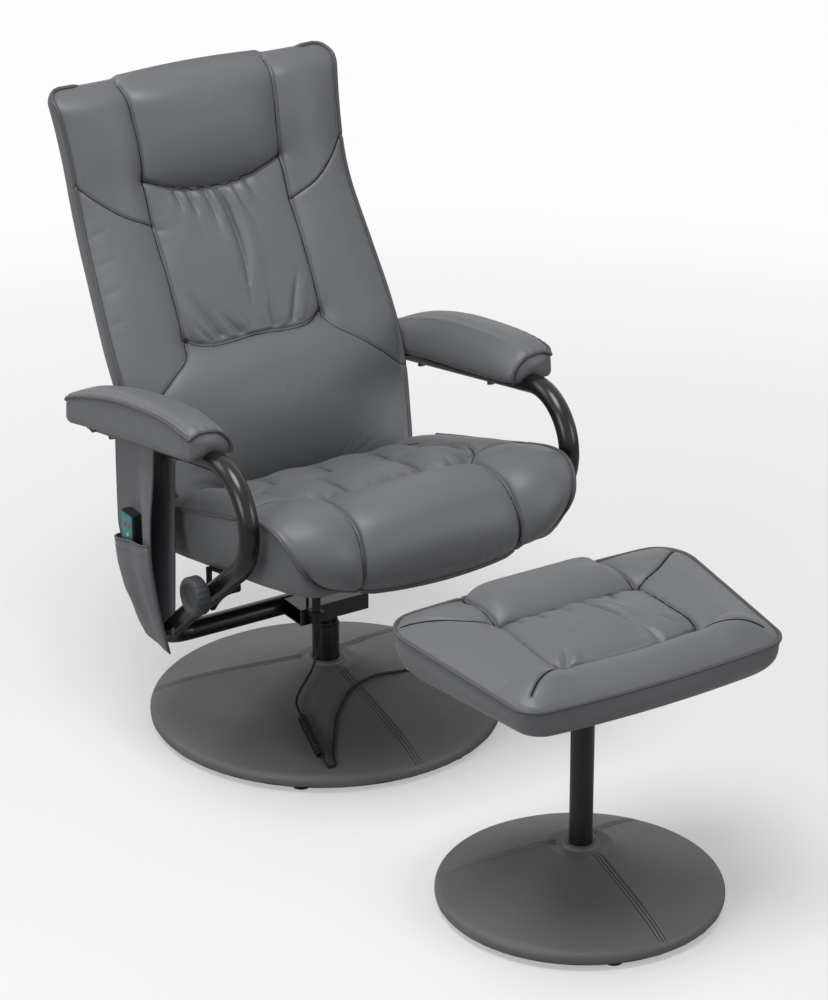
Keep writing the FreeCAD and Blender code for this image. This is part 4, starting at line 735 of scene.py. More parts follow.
def make_seat():
    rows, columns = 281, 241
    t, u = net(rows, columns, SEAT_EDGE[-1][0])
    tables = (SEAT_EDGE, SEAT_CHANNEL, SEAT_MIDDLE, SEAT_LOW)
    edge, channel, middle, low = [eased(table, t) for table in tables]
    wide = np.abs(u)
    split = channel[..., 0] / edge[..., 0]
    x = u * edge[..., 0]
    centre = np.clip(wide / split, 0, 1)[..., None]
    side = np.clip((wide - split) / (1 - split), 0, 1)[..., None]
    place = np.where((wide > split)[..., None], channel + (edge - channel) * side,
                     channel + (middle - channel) * (1 - centre ** 2.4))
    place[..., 0] = x
    slope = np.gradient(middle, axis=0)
    upward = unit(np.stack([np.zeros_like(x), slope[..., 2], -slope[..., 1]], -1))
    run = way_along(middle[:, 0])
    s = np.broadcast_to(run[:, None], (rows, columns))

    def along(value):
        return float(np.interp(value, t[:, 0], run))

    def laid(line):
        return [(spot, along(value)) for spot, value in line]
    roll, rear_row = along(SEAT_ROLL), along(SEAT_REAR_ROW)
    rear, front = along(SEAT_REAR), along(SEAT_FRONT)
    roll_line = [(-136, roll - 3), (-60, roll + 4), (0, roll + 5), (60, roll + 4), (136, roll - 3)]
    rear_line = [(-178, rear_row), (-90, rear_row - 4), (0, rear_row), (90, rear_row - 4), (178, rear_row)]
    tuft_lines = [[(-70, rear_row), (-66, roll)], [(72, rear_row), (70, roll)]]
    tuft_lines += [[(spot, rear), (spot, rear_row)] for spot in REAR_TUFTS[1:-1]]
    groups = [
        (4.2, 2.8, [(mirrored([laid(SEAT_SIDE_LINE)]), 7, 11), ([curve_points(roll_line, 20)], 13, 14)]),
        (3.2, 2.6, [(mirrored([curve_points(laid(TUFT_SIDE_LINE), 20)]), 7, 12),
                    ([curve_points(rear_line, 20)] + tuft_lines, 7, 11)]),
        (2.2, 2.2, [(mirrored([curve_points(laid(SEAT_CROSS_LINE), 12)]), 1.8, 6)]),
    ]
    tuft_half = np.interp(s, [along(value) for value, _ in TUFT_HALF], [half for _, half in TUFT_HALF])
    inside = smooth(0, 10, tuft_half - np.abs(x)) * smooth(0, 8, roll + 3 - s)
    front_cells = pillow(x, FRONT_TUFTS) * pillow(s, [rear_row, roll])
    rear_cells = pillow(x, REAR_TUFTS) * pillow(s, [rear - 30, rear_row])
    height = swell(side[..., 0]) * eased(SEAT_SWELL, t)
    height = height * (1 - inside) + inside * (16 * front_cells + 11 * rear_cells - 5)
    height = creased(height, x, s, groups)
    # Small gathers start at the seams round the tufts and at the front edge.
    tucks = []
    for start in TUFT_STARTS:
        lean = 0.1 * start + 6 * math.sin(start)
        reach = 22 + 20 * abs(math.sin(start * 1.9 + 0.4))
        tuck = [(start, roll - 2), (start - lean * 0.3, roll - reach / 2), (start - lean, roll - reach)]
        tucks.append((curve_points(tuck, 8), 8, 1.6))
        tuck = [(start * 0.95, rear_row + 2), (start * 0.92, rear_row + reach * 0.8)]
        tucks.append((curve_points(tuck, 6), 8, 1.2))
    front_tucks = []
    for start in np.linspace(-128, 132, 14):
        reach = 30 + 34 * abs(math.sin(start * 1.4 + 1))
        front_tucks.append((curve_points([(start, front), (start * 1.03 + 6, front - reach)], 6), 8, 0.9))
    height = height + inside * folds(x, s, tucks) + folds(x, s, front_tucks)
    fade = smooth(0, 0.05, 1 - wide) * smooth(0, 12, s) * smooth(0, 12, run[-1] - s)
    height = (height + 0.8 * ripple(x, s, 150, 4)) * fade
    top = place + upward * height[..., None]
    bottom = np.stack([u * low[..., 0], low[..., 1], low[..., 2]], -1)
    front_share = smooth(along(8.4), along(9.4), s)
    slack = 0.01 + 0.024 * inside + 0.014 * front_share * smooth(0, 12, 139 - np.abs(x))
    rim_gap = np.minimum((1 - wide) * edge[..., 0], np.minimum(s, run[-1] - s))
    welt = upholster("seat", top, bottom, x, s, groups, rim_gap, slack, SEAT_FORM)
    piping("seat_piping", welt[columns - 1:], SEAT_WELT, "seat", CHAIR)


# The stool's cushion, about the stool's own axis. Places are across (x) and from rear to front (s).
STOOL_TOP = {"rear": 142.0, "front": -184.0, "rear_half": 260.0, "front_half": 222.0, "rear_corner": 34.0,
             "front_corner": 62.0, "rear_z": 457.0, "front_z": 437.0, "low": 389.0, "crown": 16.0,
             "roll": 100.0, "foot": 252.0, "panel_half": 118.0, "low_inset": 21.0, "welt": 3.4}
STOOL_FORM = {"body": "stool_top", "axis": STOOL, "flip": True, "bulge": 11.0, "rings": 10, "fill": 0.7,
              "stands_for": ("stool_cushion",), "shade_line_lift": 2.4}
STOOL_FOLDS = [
    ([(6, 104), (14, 136), (30, 172), (36, 206), (30, 238)], 10, 9),
    ([(52, 256), (48, 232), (38, 210)], 8, 4),
    ([(-30, 106), (-22, 130), (-26, 160)], 8, 4),
    ([(-70, 104), (-62, 120), (-66, 142)], 7, 5),
    ([(-100, 102), (-94, 114), (-98, 132)], 6, 5),
    ([(72, 104), (62, 126), (42, 150)], 9, 4),
    ([(112, 234), (94, 218), (76, 204)], 8, 4),
    ([(-106, 246), (-94, 228), (-88, 208)], 8, 3.5),
]


def make_stool():
    v, u = net(161, 241)
    length = STOOL_TOP["rear"] - STOOL_TOP["front"]
    roll, foot, line_x = STOOL_TOP["roll"], STOOL_TOP["foot"], STOOL_TOP["panel_half"]
    s = v * length
    half = STOOL_TOP["rear_half"] + (STOOL_TOP["front_half"] - STOOL_TOP["rear_half"]) * v
    half = (rounded_half(half, s, length, STOOL_TOP["rear_corner"])
            + rounded_half(half, length - s, length, STOOL_TOP["front_corner"]) - half)
    x = u * half
    # The front and rear edges bow out a little in the middle.
    y = STOOL_TOP["rear"] - s + 4 * (1 - u ** 2) * (1 - v) ** 4 - 9 * (1 - u ** 2) * v ** 4
    base = STOOL_TOP["rear_z"] + (STOOL_TOP["front_z"] - STOOL_TOP["rear_z"]) * v
    wide = np.abs(x)
    edge = np.minimum(half - wide, np.minimum(s, length - s))
    side_line = [(-116, 0), (-119, roll * 0.5), (-120, roll), (-124, (roll + foot) / 2), (-123, foot - 18),
                 (-118, foot - 3)]
    roll_line = [(-120, roll), (-50, roll + 4), (0, roll + 5), (50, roll + 4), (120, roll)]
    foot_line = [(-118, foot - 4), (-60, foot + 5), (0, foot + 8), (60, foot + 5), (118, foot - 4)]
    front_mitre = [(-118, foot - 2), (-146, foot + 14), (-180, foot + 32), (-200, foot + 46)]
    rear_mitre = [(-120, roll), (-156, roll - 6), (-196, roll - 30), (-240, roll - 72)]
    groups = [
        (4.6, 2.4, [(mirrored([curve_points(side_line, 24)]), 6, 11), ([curve_points(roll_line, 20)], 12, 13),
                    ([curve_points(foot_line, 20)], 8, 12)]),
        (2.6, 2.0, [(mirrored([curve_points(front_mitre, 14), curve_points(rear_mitre, 14)]), 2.6, 7)]),
    ]
    # The rear panel swells over the rear edge; the others are pillows between the seams.
    between = np.clip(1 - (wide / line_x) ** 2.4, 0, 1)
    boxy = np.clip(1 - (wide / line_x) ** 9, 0, 1)
    side = np.clip((wide - line_x) / (half - line_x), 0, 1)
    front_share = np.clip((s - foot) / (length - foot), 0, 1)
    height = STOOL_TOP["crown"] * smooth(-14, 64, edge)
    height = height + 13 * boxy * np.sin(math.pi * np.clip((s + 40) / (roll + 40), 0, 1)) ** 0.7
    height = height + 9 * between * np.sin(math.pi * np.clip((s - roll) / (foot - roll), 0, 1)) ** 0.8
    height = height + 8 * swell(side) ** 1.2 * smooth(-10, 45, s) * smooth(-10, 45, length - s)
    height = height + 9 * np.sin(math.pi * front_share) ** 0.8 * (1 - side) ** 0.5
    height = creased(height, x, s, groups)
    inside = smooth(0, 10, 121 - wide) * smooth(0, 4, s - roll) * smooth(0, 4, foot + 4 - s)
    height = height + inside * (folds(x, s, fold_rows(STOOL_FOLDS)) + 1.2 * ripple(x, s, 80, 3))
    height = (height + 0.8 * ripple(x, s, 140, 5)) * smooth(0, 8, edge)
    height = height + 8.0 * boxy * (1 - smooth(0, 30, s)) * smooth(0, 5, s)
    top = np.stack([x, y, base + height], -1)
    inset = STOOL_TOP["low_inset"]
    bottom = np.stack([x * (1 - inset / np.maximum(half, inset * 3)), (y + 20) * 0.92 - 20,
                       np.full_like(x, STOOL_TOP["low"])], -1)
    welt = upholster("stool", top, bottom, x, s, groups, edge, 0.01 + 0.03 * inside, STOOL_FORM)
    piping("stool_piping", welt, STOOL_TOP["welt"], "stool_top", STOOL, closed=True)


# Arm pads: the top panel rolls over to the inner lower edge, a band closes the outer side and the ends, and a
# welt runs between the two. Heights are along the pad's length, from front to rear.
PAD_LOW = [(-153, 568), (-60, 553), (60, 533), (160, 514), (243, 497)]
PAD_WELT = [(-153, 605), (-136, 609), (-80, 611), (-4, 603), (64, 592), (138, 574), (205, 553), (243, 538)]
PAD_INNER = [(-153, 250), (-110, 247), (-20, 248), (90, 254), (200, 260), (243, 264)]
PAD_CROWN = [(-153, 8), (-120, 13), (-60, 14), (60, 14), (170, 12), (243, 6)]
PAD = {"outer": 330.0, "sections": 150, "end_bulge": 7.0, "rounding": 5.0, "welt": 3.1, "welt_stand": 1.4}
# Share across from the outer side, share of the height up to the welt, and share of the crown.
PAD_TOP_SHARES = [(0, 1, 0), (0.09, 1, 0.6), (0.25, 1, 0.97), (0.42, 1, 1), (0.6, 1, 0.72), (0.76, 1, 0.05),
                  (0.89, 0.78, 0), (0.97, 0.52, 0), (1, 0.28, 0), (0.985, 0.1, 0), (0.94, 0, 0)]
PAD_SIDE_SHARES = [(0.05, 0), (0, 0.08), (-0.025, 0.45), (-0.012, 0.8), (0, 1)]
PAD_CAP_SHARES = (0.8, 0.55, 0.3, 0.1)


def closed_tube(name, rings, bulge, body, axis):
    """A closed form through rings of points, its two ends capped and swollen a little."""
    count, around = rings.shape[:2]
    spots = [rings.reshape(-1, 3)]
    loops = loops_of(count, around)
    for ring, inner, first in ((rings[0], rings[2], True), (rings[-1], rings[-3], False)):
        centre = ring.mean(0)
        way = unit(centre - inner.mean(0))
        for share in PAD_CAP_SHARES:
            spots.append(centre + (ring - centre) * share + way * bulge * (1 - share ** 2))
            loop = len(loops) * around + np.arange(around)
            loops = [loop] + loops if first else loops + [loop]
    faces = band_faces(loops)
    spots = np.concatenate(spots)
    corners = np.array([face[:3] for face in faces])
    volume = (spots[corners[:, 0]] * np.cross(spots[corners[:, 1]], spots[corners[:, 2]])).sum()
    faces += end_faces(loops)
    if volume < 0:
        faces = [face[::-1] for face in faces]
    return make_piece(name, spots, faces, "leatherette", body, axis)


def make_pad(name, node, turn):
    front, rear = PAD_LOW[0][0], PAD_LOW[-1][0]
    # Sections stand closer together toward both ends.
    share = np.linspace(0, 1, PAD["sections"])
    along = front + (rear - front) * (0.5 * share + 0.5 * (1 - np.cos(math.pi * share)) / 2)
    low, welt, inner, crown = [eased(table, along) for table in (PAD_LOW, PAD_WELT, PAD_INNER, PAD_CROWN)]
    top_shares = curve_points(PAD_TOP_SHARES, 64)
    side_shares = curve_points(PAD_SIDE_SHARES, 14)[:-1]
    under_shares = np.linspace(top_shares[-1][0], side_shares[0][0], 14)[1:-1]
    first, last = len(side_shares), len(side_shares) + len(top_shares)
    u = np.r_[side_shares[:, 0], top_shares[:, 0], under_shares]
    up_shares = np.r_[side_shares[:, 1], top_shares[:, 1], np.zeros(len(under_shares))]
    crown_shares, on_top = np.zeros(len(u)), np.zeros(len(u))
    crown_shares[first:last] = top_shares[:, 2]
    on_top[first:last] = 1
    middle = smooth(0, 0.15, u) * (1 - smooth(0.8, 0.95, u))
    rings = []
    for index, y in enumerate(along):
        wide, tall = PAD["outer"] - inner[index], welt[index] - low[index]
        near_end = min(y - front, rear - y)
        # The corners are a little rounded, and the cover puckers beside the welt.
        rounding = PAD["rounding"] * (1 - smooth(0, 16, near_end))
        groove = 1.1 * np.exp(-((u - 0.085) * wide / 1.6) ** 2)
        pucker = 0.25 * math.sin(y * 0.33 + 2 * math.sin(y * 0.05)) * np.exp(-((u - 0.02) * wide / 12) ** 2)
        end_pucker = 0.7 * np.sin(u * wide * 0.42) * math.exp(-((y - front - 6) / 9) ** 2)
        height = up_shares * tall + crown_shares * crown[index]
        height = height + on_top * (pucker + end_pucker * middle - groove)
        height = height * (1 - 0.05 * (1 - smooth(0, 10, near_end)))
        x = PAD["outer"] - u * wide
        x = x - rounding * (2 * (x - PAD["outer"] + wide / 2) / wide)
        rings.append(np.stack([turn * x, np.full(len(x), y), low[index] + height], 1))
    rings = np.array(rings)
    piece = closed_tube(name, rings, PAD["end_bulge"], "frame", CHAIR)
    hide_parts(node)
    path = np.concatenate([rings[-1, last - 2:first:-1], rings[::-1, first], rings[0, first + 1:last - 1]])
    out = path - path.mean(0)
    out[:, 1] *= 0.1
    path = path + unit(out) * PAD["welt_stand"]
    piping(name.replace("upholstery", "piping"), path, PAD["welt"], "frame", CHAIR)


# The pocket: a leatherette loop over the left arm tube, with a pouch on its outer side.
POCKET = {"tube_x": -288.0, "loop_radius": 17.3, "join_z": 226.0, "mouth_z": 368.0, "low_z": 203.0,
          "tube_rear": (222.0, 497.0), "slope": 0.1791, "thick": 2.0, "mouth_depth": 28.0, "high_z": 530.0,
          "lap": 2.4, "hem": 5.0}
POCKET_FRONT = [(196, -44), (230, -46), (280, -41), (366, -28), (450, -17), (560, -6)]
POCKET_REAR = [(196, 20), (224, 54), (280, 84), (330, 106), (366, 117), (460, 117.5), (560, 117.5)]
# How far the outer leaf stands off at its front edge, by height, how the mouth slants from front to rear, and
# how full the pouch is from the mouth down.
POCKET_STAND = [(196, 2), (230, 10), (300, 20), (360, 23), (420, 18), (480, 8), (560, 0)]
MOUTH_SLANT = [(0, 16), (0.5, 0), (1, -20)]
POUCH_BELLY = [(0, 0.9), (0.25, 1.0), (0.5, 0.9), (0.8, 0.45), (1, 0.08)]


def leaf(name, grid, node):
    """A thin sewn sheet from a grid of points, with an even thickness."""
    way = outward(grid, False) * POCKET["thick"] / 2
    piece, _ = closed_cushion(name, grid + way, grid - way, 0, 2, "frame", CHAIR, finish="pocket_leatherette")
    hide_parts(node)


def make_pocket():
    columns = 49
    share = np.linspace(0, 1, columns)
    tube_x, reach, low_z = POCKET["tube_x"], POCKET["loop_radius"], POCKET["low_z"]

    def across(z):
        low, high = read_off(POCKET_FRONT, z), read_off(POCKET_REAR, z)
        return low + (high - low) * share

    def stand_off(z):
        """How far the outer leaf bows away from the tube toward its front edge."""
        return eased(POCKET_STAND, z) * (1 - smooth(0.08, 0.5, share))
    high_y = across(POCKET["high_z"])
    tube_z = POCKET["tube_rear"][1] + POCKET["slope"] * (POCKET["tube_rear"][0] - high_y)
    rows = []
    for part in np.linspace(0, 1, 60):
        z = low_z + (tube_z - low_z) * part
        wave = 1.3 * np.sin(share * 7 + part * 5) * math.sin(math.pi * part) ** 0.5
        edge_in = 2.5 * (1 - smooth(0, 0.12, share)) * math.sin(math.pi * part)
        x = tube_x - reach + np.minimum(wave, 0.4) * 0.5 - edge_in * 0.3 - stand_off(z)
        rows.append((x, across(z), z))
    for turn in np.radians(np.linspace(170, 10, 15)):
        x = np.full(columns, tube_x + reach * math.cos(turn))
        rows.append((x, high_y, tube_z + reach * math.sin(turn)))
    for part in np.linspace(0, 1, 46):
        z = tube_z + (POCKET["join_z"] + 3 - tube_z) * part
        sag = 2.2 * math.sin(math.pi * part) * np.sin(share * 5 + 1)
        rows.append((tube_x + reach - (2 * reach - POCKET["lap"]) * part + sag, across(z), z))
    loop = np.array(rows).transpose(0, 2, 1)
    leaf("pocket_loop", loop[:, ::-1], "pocket_hanger")
    mouth = POCKET["mouth_z"] + eased(MOUTH_SLANT, share)
    rows = []
    for part in np.linspace(0, 1, 56):
        z = mouth + (low_z + POCKET["hem"] - mouth) * part
        dent = 2.2 * np.sin(share * 9 + part * 4) * math.sin(math.pi * part) * swell(share)
        fullness = read_off(POUCH_BELLY, part) * swell(share) ** 0.5
        fullness = fullness * (0.45 + 0.55 * smooth(0.1, 0.55, share))
        x = tube_x - reach - POCKET["lap"] - stand_off(z) - POCKET["mouth_depth"] * fullness - dent
        rows.append((x, across(z), z))
    pouch = np.array(rows).transpose(0, 2, 1)
    leaf("pocket_shell", pouch[::-1, ::-1], "pocket_pouch")
    edging_shift, hem_shift, hem_row = np.array([0.6, 0, 0]), np.array([-1.3, 0, 0]), 5
    around = np.r_[pouch[:, 0], pouch[-1, 1:], pouch[::-1, -1][1:]] + edging_shift
    for name, line, radius in (("loop_edging", loop[:, 0], 1.5), ("loop_rear_edging", loop[:, -1], 1.5),
                               ("edging", around, 1.6), ("mouth", pouch[0], 1.9)):
        piping("pocket_" + name, line, radius, "frame", CHAIR)
    stitches("pocket_stitches", pouch[hem_row] + hem_shift, "frame", CHAIR, length=4.0, gap=2.0, radius=0.5)


# The power lead and the two short wires, as smooth splines through the part's own route points.
LEAD = {"diameter": 4.5, "curl_turns": 17, "curl_radius": 6.0, "coil_turns": 7, "pitch": 5.2, "outer": 34.1,
        "coil": (296.0, -130.0, 4.15), "plug_end": (-43.0, -44.0, 144.75), "loop": 30.0, "curl_lift": 9.0,
        "run_lift": 3.4, "coil_entry": 25.0, "curl_end_share": 0.13, "seat_loop": 5.0}
# In metres: the least step along a spline's path, and a height for the lead's drop near the base.
LEAST_STEP, STILL_BELOW = 0.0002, 0.078
CURL_ENDS = [(-114, -108), (-136, -214)]
LEAD_ROUTE = [(-134, -229), (-122, -229), (-113, -206), (-68, -141), (-14, -98), (43, -80), (89, -77),
              (141, -62), (240, -53)]
RIM_ROUTE = [(278, -50, 33), (304, -55, 15), (322, -70, 4.5)]
END_ROUTE = [(330.1, -155, 9.35), (308, -173, 15), (308, -198, 15)]
TAIL_ROUTE = [(-43, -44, 246.75), (-43, -44, 276.75), (-43, -16, 276.75), (-43, -16, 208.75)]
LOOP_ROUTE = [(-214, 58, 327.365), (-214, 58, 312.84), (-214, 28, 318.54), (-214, 28, 333.065)]
# The chair base's cone, and the directions of the three seams of a base's skin.
BASE = {"radius": 285.0, "rise": 96.0, "rim_top": 29.5, "rim": 22.0, "cone_end": 275.0, "cone_run": 227.0}
SEAM_ANGLES = (math.radians(30), math.radians(143), math.radians(270))


def seam_ridge(reach, angle):
    """How far a base's skin rises toward its seams."""
    rise = np.zeros(np.shape(reach))
    for seam in SEAM_ANGLES:
        near = 7.0 * np.exp(-np.abs(reach * np.sin(angle - seam)) / 42)
        rise = rise + np.where(np.cos(angle - seam) > 0, near, 0)
    return rise * smooth(50, 190, reach) * (1 - smooth(235, 285, reach))


def on_cover(x, y, lift):
    """A point above the chair base's cone."""
    reach = math.hypot(x, y)
    cone = BASE["rim_top"] + (BASE["rise"] - BASE["rim_top"]) * (BASE["cone_end"] - reach) / BASE["cone_run"]
    return np.array([x, y, cone + float(seam_ridge(reach, math.atan2(y, x))) + lift])


def lead_points():
    """The whole lead's route, from the plug to the adapter."""
    start, finish = [on_cover(*end, LEAD["curl_lift"]) for end in CURL_ENDS]
    axis = unit(finish - start)
    across = unit(np.cross(axis, [0, 0, 1]))
    normal = np.cross(across, axis)
    plug_end = np.array(LEAD["plug_end"])
    points = [plug_end, plug_end - np.array([0, 0, LEAD["loop"]]),
              start - axis * LEAD["loop"] + np.array([0, 0, LEAD["diameter"]])]
    # The curl widens and winds up gently at both ends, so that the lead isn't bent sharply there.
    way_shares = np.linspace(0, 1, LEAD["curl_turns"] * 14 + 1)
    near_end = np.minimum(np.minimum(way_shares, 1 - way_shares) / LEAD["curl_end_share"], 1)
    pace = np.r_[0, np.cumsum((near_end[1:] + near_end[:-1]) / 2)]
    angles = 2 * math.pi * LEAD["curl_turns"] * pace / pace[-1]
    for way, radius, angle in zip(way_shares, LEAD["curl_radius"] * smooth(0, 1, near_end), angles):
        points.append(start + (finish - start) * way + across * radius * math.cos(angle)
                      + normal * radius * math.sin(angle))
    # On the base the route is steered halfway between its points as well.
    route = np.array(LEAD_ROUTE, float)
    steered = np.empty((2 * len(route) - 1, 2))
    steered[::2], steered[1::2] = route, (route[:-1] + route[1:]) / 2
    points += [on_cover(*spot, LEAD["run_lift"]) for spot in steered]
    points += [np.array(spot, float) for spot in RIM_ROUTE]
    coil, outer = np.array(LEAD["coil"]), LEAD["outer"]
    points.append(coil + np.array([outer, LEAD["coil_entry"], 0]))
    half_turns, per_turn = LEAD["coil_turns"] / 2, 16
    for turn in np.arange(LEAD["coil_turns"] * per_turn + 1) / per_turn:
        radius = outer - LEAD["pitch"] * (half_turns - abs(turn - half_turns))
        climb = LEAD["pitch"] * smooth(-0.25, 0.25, turn - half_turns)
        angle = -2 * math.pi * turn
        points.append(coil + np.array([radius * math.cos(angle), radius * math.sin(angle), climb]))
    return points + [np.array(spot, float) for spot in END_ROUTE]


def spline_path(name, points):
    """Points, in metres, read off a smooth spline that the given millimetre points steer."""
    data = bpy.data.curves.new(name + "_route", "CURVE")
    data.dimensions = "3D"
    data.resolution_u = 4
    spline = data.splines.new("NURBS")
    spline.points.add(len(points) - 1)
    for target, spot in zip(spline.points, points):
        target.co = (*((np.asarray(spot) + CHAIR) * MM), 1)
    spline.order_u = 3
    spline.use_endpoint_u = True
    guide = add_object(name + "_route", data)
    bpy.context.view_layer.update()
    line = bpy.data.meshes.new_from_object(guide)
    path = np.array([vertex.co for vertex in line.vertices])
    bpy.data.objects.remove(guide)
    kept = [path[0]]
    for spot in path[1:-1]:
        if min(np.linalg.norm(spot - kept[-1]), np.linalg.norm(spot - path[-1])) > LEAST_STEP:
            kept.append(spot)
    return np.array(kept + [path[-1]])


def wire(name, points, diameter, finish):
    """A round wire along a spline; gives the piece, its path and its length in metres."""
    path = spline_path(name, points)
    spots, faces = tube_mesh(path / MM, diameter / 2, sides=12)
    piece = mesh_object(name, spots * MM, faces, finish)
    return piece, path, float(way_along(path)[-1])


def make_wires():
    lead, path, length = wire("power_lead", lead_points(), LEAD["diameter"], "lead_jacket")
    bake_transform(lead)
    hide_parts("power_lead_drop", "power_lead_curl", "power_lead_run", "power_lead_coil",
                "power_lead_end")
    for name, route, diameter, body, node, finish in (
            ("lead_tail_wire", TAIL_ROUTE, LEAD["diameter"], "frame", "lead_tail", "lead_jacket"),
            ("seat_loop_wire", LOOP_ROUTE, LEAD["seat_loop"], "seat", "seat_wire_loop", "grey_plastic")):
        piece, path, length = wire(name, route, diameter, finish)
        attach(piece, body)
        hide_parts(node)


# The knob: share of the depth from the outer face, share of the radius, and how far the ribs show there.
KNOB_SHARES = [(0.16, 0.02, 0), (0.16, 0.5, 0), (0.13, 0.62, 0), (0.01, 0.7, 0), (0, 0.76, 0),
               (0.02, 0.9, 0.3), (0.08, 0.97, 1), (0.16, 1, 1), (0.6, 1, 1), (0.68, 0.97, 1),
               (0.73, 0.9, 0.3), (0.75, 0.6, 0), (0.75, 0.46, 0), (0.98, 0.45, 0), (1, 0.42, 0), (1, 0.2, 0)]
KNOB_RIBS, KNOB_RIB_DEPTH = 20, 0.7


def make_knob():
    """The clamp knob, with finger ribs round it and a dished face."""
    low, high = [np.array(corner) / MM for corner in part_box("tension_knob")]
    middle, outer, deep = (low + high) / 2, (high - low)[1] / 2, (high - low)[0]
    around = 160
    angles = np.arange(around) / around * 2 * math.pi
    points = []
    for deep_share, radius_share, rib in KNOB_SHARES:
        radius = outer * radius_share - rib * KNOB_RIB_DEPTH * (1 - np.cos(angles * KNOB_RIBS)) / 2
        x = np.full(around, low[0] + deep * deep_share)
        y, z = middle[1] + radius * np.cos(angles), middle[2] + radius * np.sin(angles)
        points.append(np.stack([x, y, z], 1))
    loops = loops_of(len(KNOB_SHARES), around)
    faces = band_faces(loops) + end_faces(loops)
    piece = make_piece("knob_grip", np.concatenate(points), faces, "grey_plastic", "knob", np.zeros(3),
                       "grey_plastic")
    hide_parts("tension_knob")


def base_cover(name, node, axis, body, radius, rise, hole):
    """The leatherette skin of a dished base: a cone with three sewn seams, tucked under at a low rim."""
    rim_top, rim = BASE["rim_top"], BASE["rim"]
    cone_end, land, stitch_off, shade_line_radius = radius - 10, 48.0, 5.5, 0.6
    cone_r = np.linspace(hole + 12, cone_end, 60)
    cone_z = rise + 0.6 + (rim_top - rise) * np.maximum(0, cone_r - land) / (cone_end - land)
    collar = [(hole, rise + 5.0), (hole + 8, rise + 4.8), (hole + 10.4, rise + 0.6)]
    tuck = [(cone_end + 3, rim_top - 1.0), (cone_end + 6.5, rim_top - 3.2), (radius - 0.6, rim - 0.5),
            (radius, rim - 4), (radius, 14), (radius - 0.8, 11), (radius - 3, 10.2), (radius - 8, 10.1)]
    profile = np.r_[curve_points(collar, 8), np.c_[cone_r, cone_z], curve_points(tuck, 16)]
    # Columns stand a degree apart, and closer beside the seams.
    degrees = set(range(360))
    for seam in SEAM_ANGLES:
        for parts, reach in ((2, 16), (5, 12)):
            degrees |= {(round(math.degrees(seam)) + step / parts) % 360 for step in range(-reach, reach + 1)}
    r, a = np.broadcast_arrays(profile[:, :1], np.radians(sorted(degrees))[None, :])

    def shaped(r, a, z):
        """The skin's height with its seams and waves."""
        cone = smooth(hole + 14, hole + 40, r) * smooth(0, 14, radius - r + 2)
        z = z + seam_ridge(r * BASE["radius"] / radius, a) * radius / BASE["radius"]
        for seam in SEAM_ANGLES:
            off = np.where(np.cos(a - seam) > 0, r * np.sin(a - seam), 99.0)
            groove = 2.0 * np.exp(-(off / 1.6) ** 2) + 1.5 * np.exp(-((np.abs(off) - stitch_off) / 1.5) ** 2)
            z = z - groove * cone
        return z + 0.6 * ripple(r * np.cos(a), r * np.sin(a), 120, 7) * cone

    # Near-black lines along each seam and its two stitch rows: painted shade for the shadowed grooves.
    way = np.linspace(hole + 18, cone_end + 4, 90)
    plain = read_off(profile[:int(np.argmax(profile[:, 0]))], way)
    runs = []
    for seam in SEAM_ANGLES:
        for off in (-stitch_off, 0, stitch_off):
            turn = seam + np.arcsin(off / way)
            runs.append(np.stack([way * np.cos(turn), way * np.sin(turn), shaped(way, turn, plain)], 1))
    painted_seam_shade(name.replace("skin", "seams"), runs, shade_line_radius, body, axis)
    z = shaped(r, a, profile[:, 1:])
    # The tucked lower edge is a little uneven.
    low_edge = (1 - smooth(10, 20, z)) * smooth(-6, -1, r - radius)
    z = z + 0.9 * low_edge * np.sin(a * 23 + 2 * np.sin(a * 5))
    points = np.stack([r * np.cos(a), r * np.sin(a), z], -1).reshape(-1, 3)
    piece = make_piece(name, points, band_faces(loops_of(*r.shape), True, 1), "base_leatherette", body, axis)
    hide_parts(node)


make_back()
make_seat()
make_stool()
make_pad("left_pad_upholstery", "left_arm_pad", -1)
make_pad("right_pad_upholstery", "right_arm_pad", 1)
make_pocket()
make_wires()
make_knob()
base_cover("chair_base_skin", "chair_base_cover", CHAIR, "base", BASE["radius"], BASE["rise"], hole=22.3)
base_cover("stool_base_skin", "stool_base_cover", STOOL, "footstool", radius=214.0, rise=89.5, hole=17.8)


# Camera, floor and light.
camera = add_object("camera", bpy.data.cameras.new("camera"))
bpy.context.scene.camera = camera
camera.data.lens = 132.94
camera.data.sensor_width = 36
right_way = Vector((0.8425, -0.5387, 0)).normalized()
back_way = Vector((-0.493, -0.7716, 0.4016)).normalized()
up_way = back_way.cross(right_way)
spot = (Vector((-2765.4, -4590.6, 2723.4)) + Vector(CHAIR)) * MM
camera.matrix_world = Matrix.Translation(spot) @ Matrix((right_way, up_way, back_way)).transposed().to_4x4()

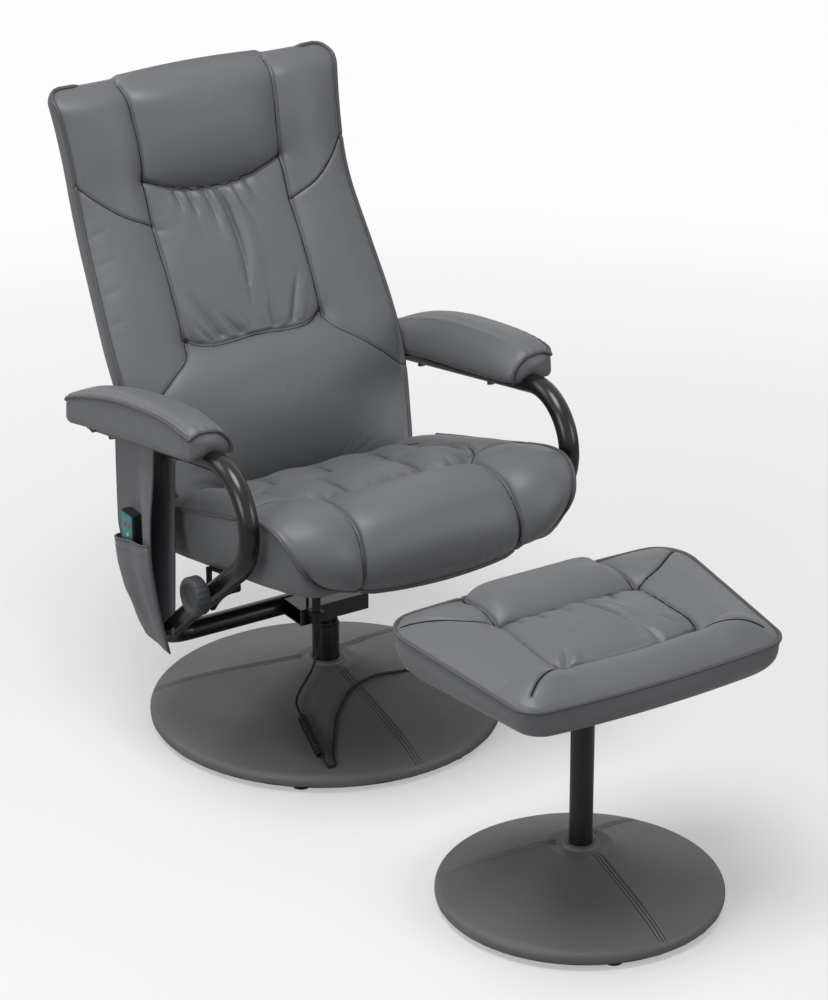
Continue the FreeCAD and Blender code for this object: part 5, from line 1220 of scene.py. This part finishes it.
# Seen by the camera, the floor is mostly its own white, wholly so far from the object; shadows stay near it.
# Less light comes back up from the floor than the camera sees on it.
floor_size = 40.0
floor_mesh = bpy.data.meshes.new("floor")
corner_shares = ((-1, -1), (1, -1), (1, 1), (-1, 1))
floor_mesh.from_pydata([(x * floor_size, y * floor_size, 0) for x, y in corner_shares], [], [(0, 1, 2, 3)])
floor = add_object("floor", floor_mesh)
floor_finish, tree, floor_shader = new_material("floor")
floor_seen = add_node(tree, "LightPath", {}).outputs["Is Camera Ray"]
distance = add_node(tree, "VectorMath", {0: add_node(tree, "TexCoord", {}).outputs["Object"]})
distance.operation = "LENGTH"
white_share = maths(tree, "MULTIPLY", ramp(tree, distance.outputs["Value"], 0.4, 1.0, 0.7, 2.7), floor_seen)
plug(tree, floor_shader, {"Base Color": ramp(tree, floor_seen, 0.42, 0.76), "Roughness": 0.55,
                          "Specular IOR Level": 0.2})
glow = add_node(tree, "Emission", {"Color": (0.98, 0.983, 0.99, 1)})
floor_mix = add_node(tree, "MixShader", {0: white_share, 1: floor_shader.outputs["BSDF"],
                                         2: glow.outputs["Emission"]})
plug(tree, tree.nodes["Material Output"], {"Surface": floor_mix.outputs["Shader"]})
floor_mesh.materials.append(floor_finish)

# Each lamp has its place, its size and its power, and points at the middle of the object.
LAMPS = {"top": ((-0.9, -0.5, 4.2), 2.2, 134), "behind": ((-2.6, 2.4, 2.6), 2.0, 28),
         "left": ((-4.0, -1.0, 1.6), 2.0, 52), "right": ((2.8, -3.6, 1.8), 2.0, 44)}
middle = Vector((0, 0, 0.4))
for name, (place, size, power) in LAMPS.items():
    lamp = add_object(name, bpy.data.lights.new(name, "AREA"))
    lamp.data.shape = "DISK"
    lamp.data.size = size
    lamp.data.energy = power
    lamp.location = place
    lamp.rotation_euler = (middle - Vector(place)).to_track_quat("-Z", "Y").to_euler()

# The backdrop shows white to the camera and in reflections, while it lights the object more softly.
world = bpy.data.worlds.new("studio")
bpy.context.scene.world = world
world.use_nodes = True
tree = world.node_tree
rays = add_node(tree, "LightPath", {})
seen = rays.outputs["Is Camera Ray"]
for other in ("Is Glossy Ray", "Is Transmission Ray"):
    seen = maths(tree, "MAXIMUM", seen, rays.outputs[other])
plug(tree, tree.nodes["Background"], {"Color": (1, 1, 1, 1), "Strength": ramp(tree, seen, 0.17, 0.97)})
bpy.context.scene.view_settings.view_transform = "Standard"
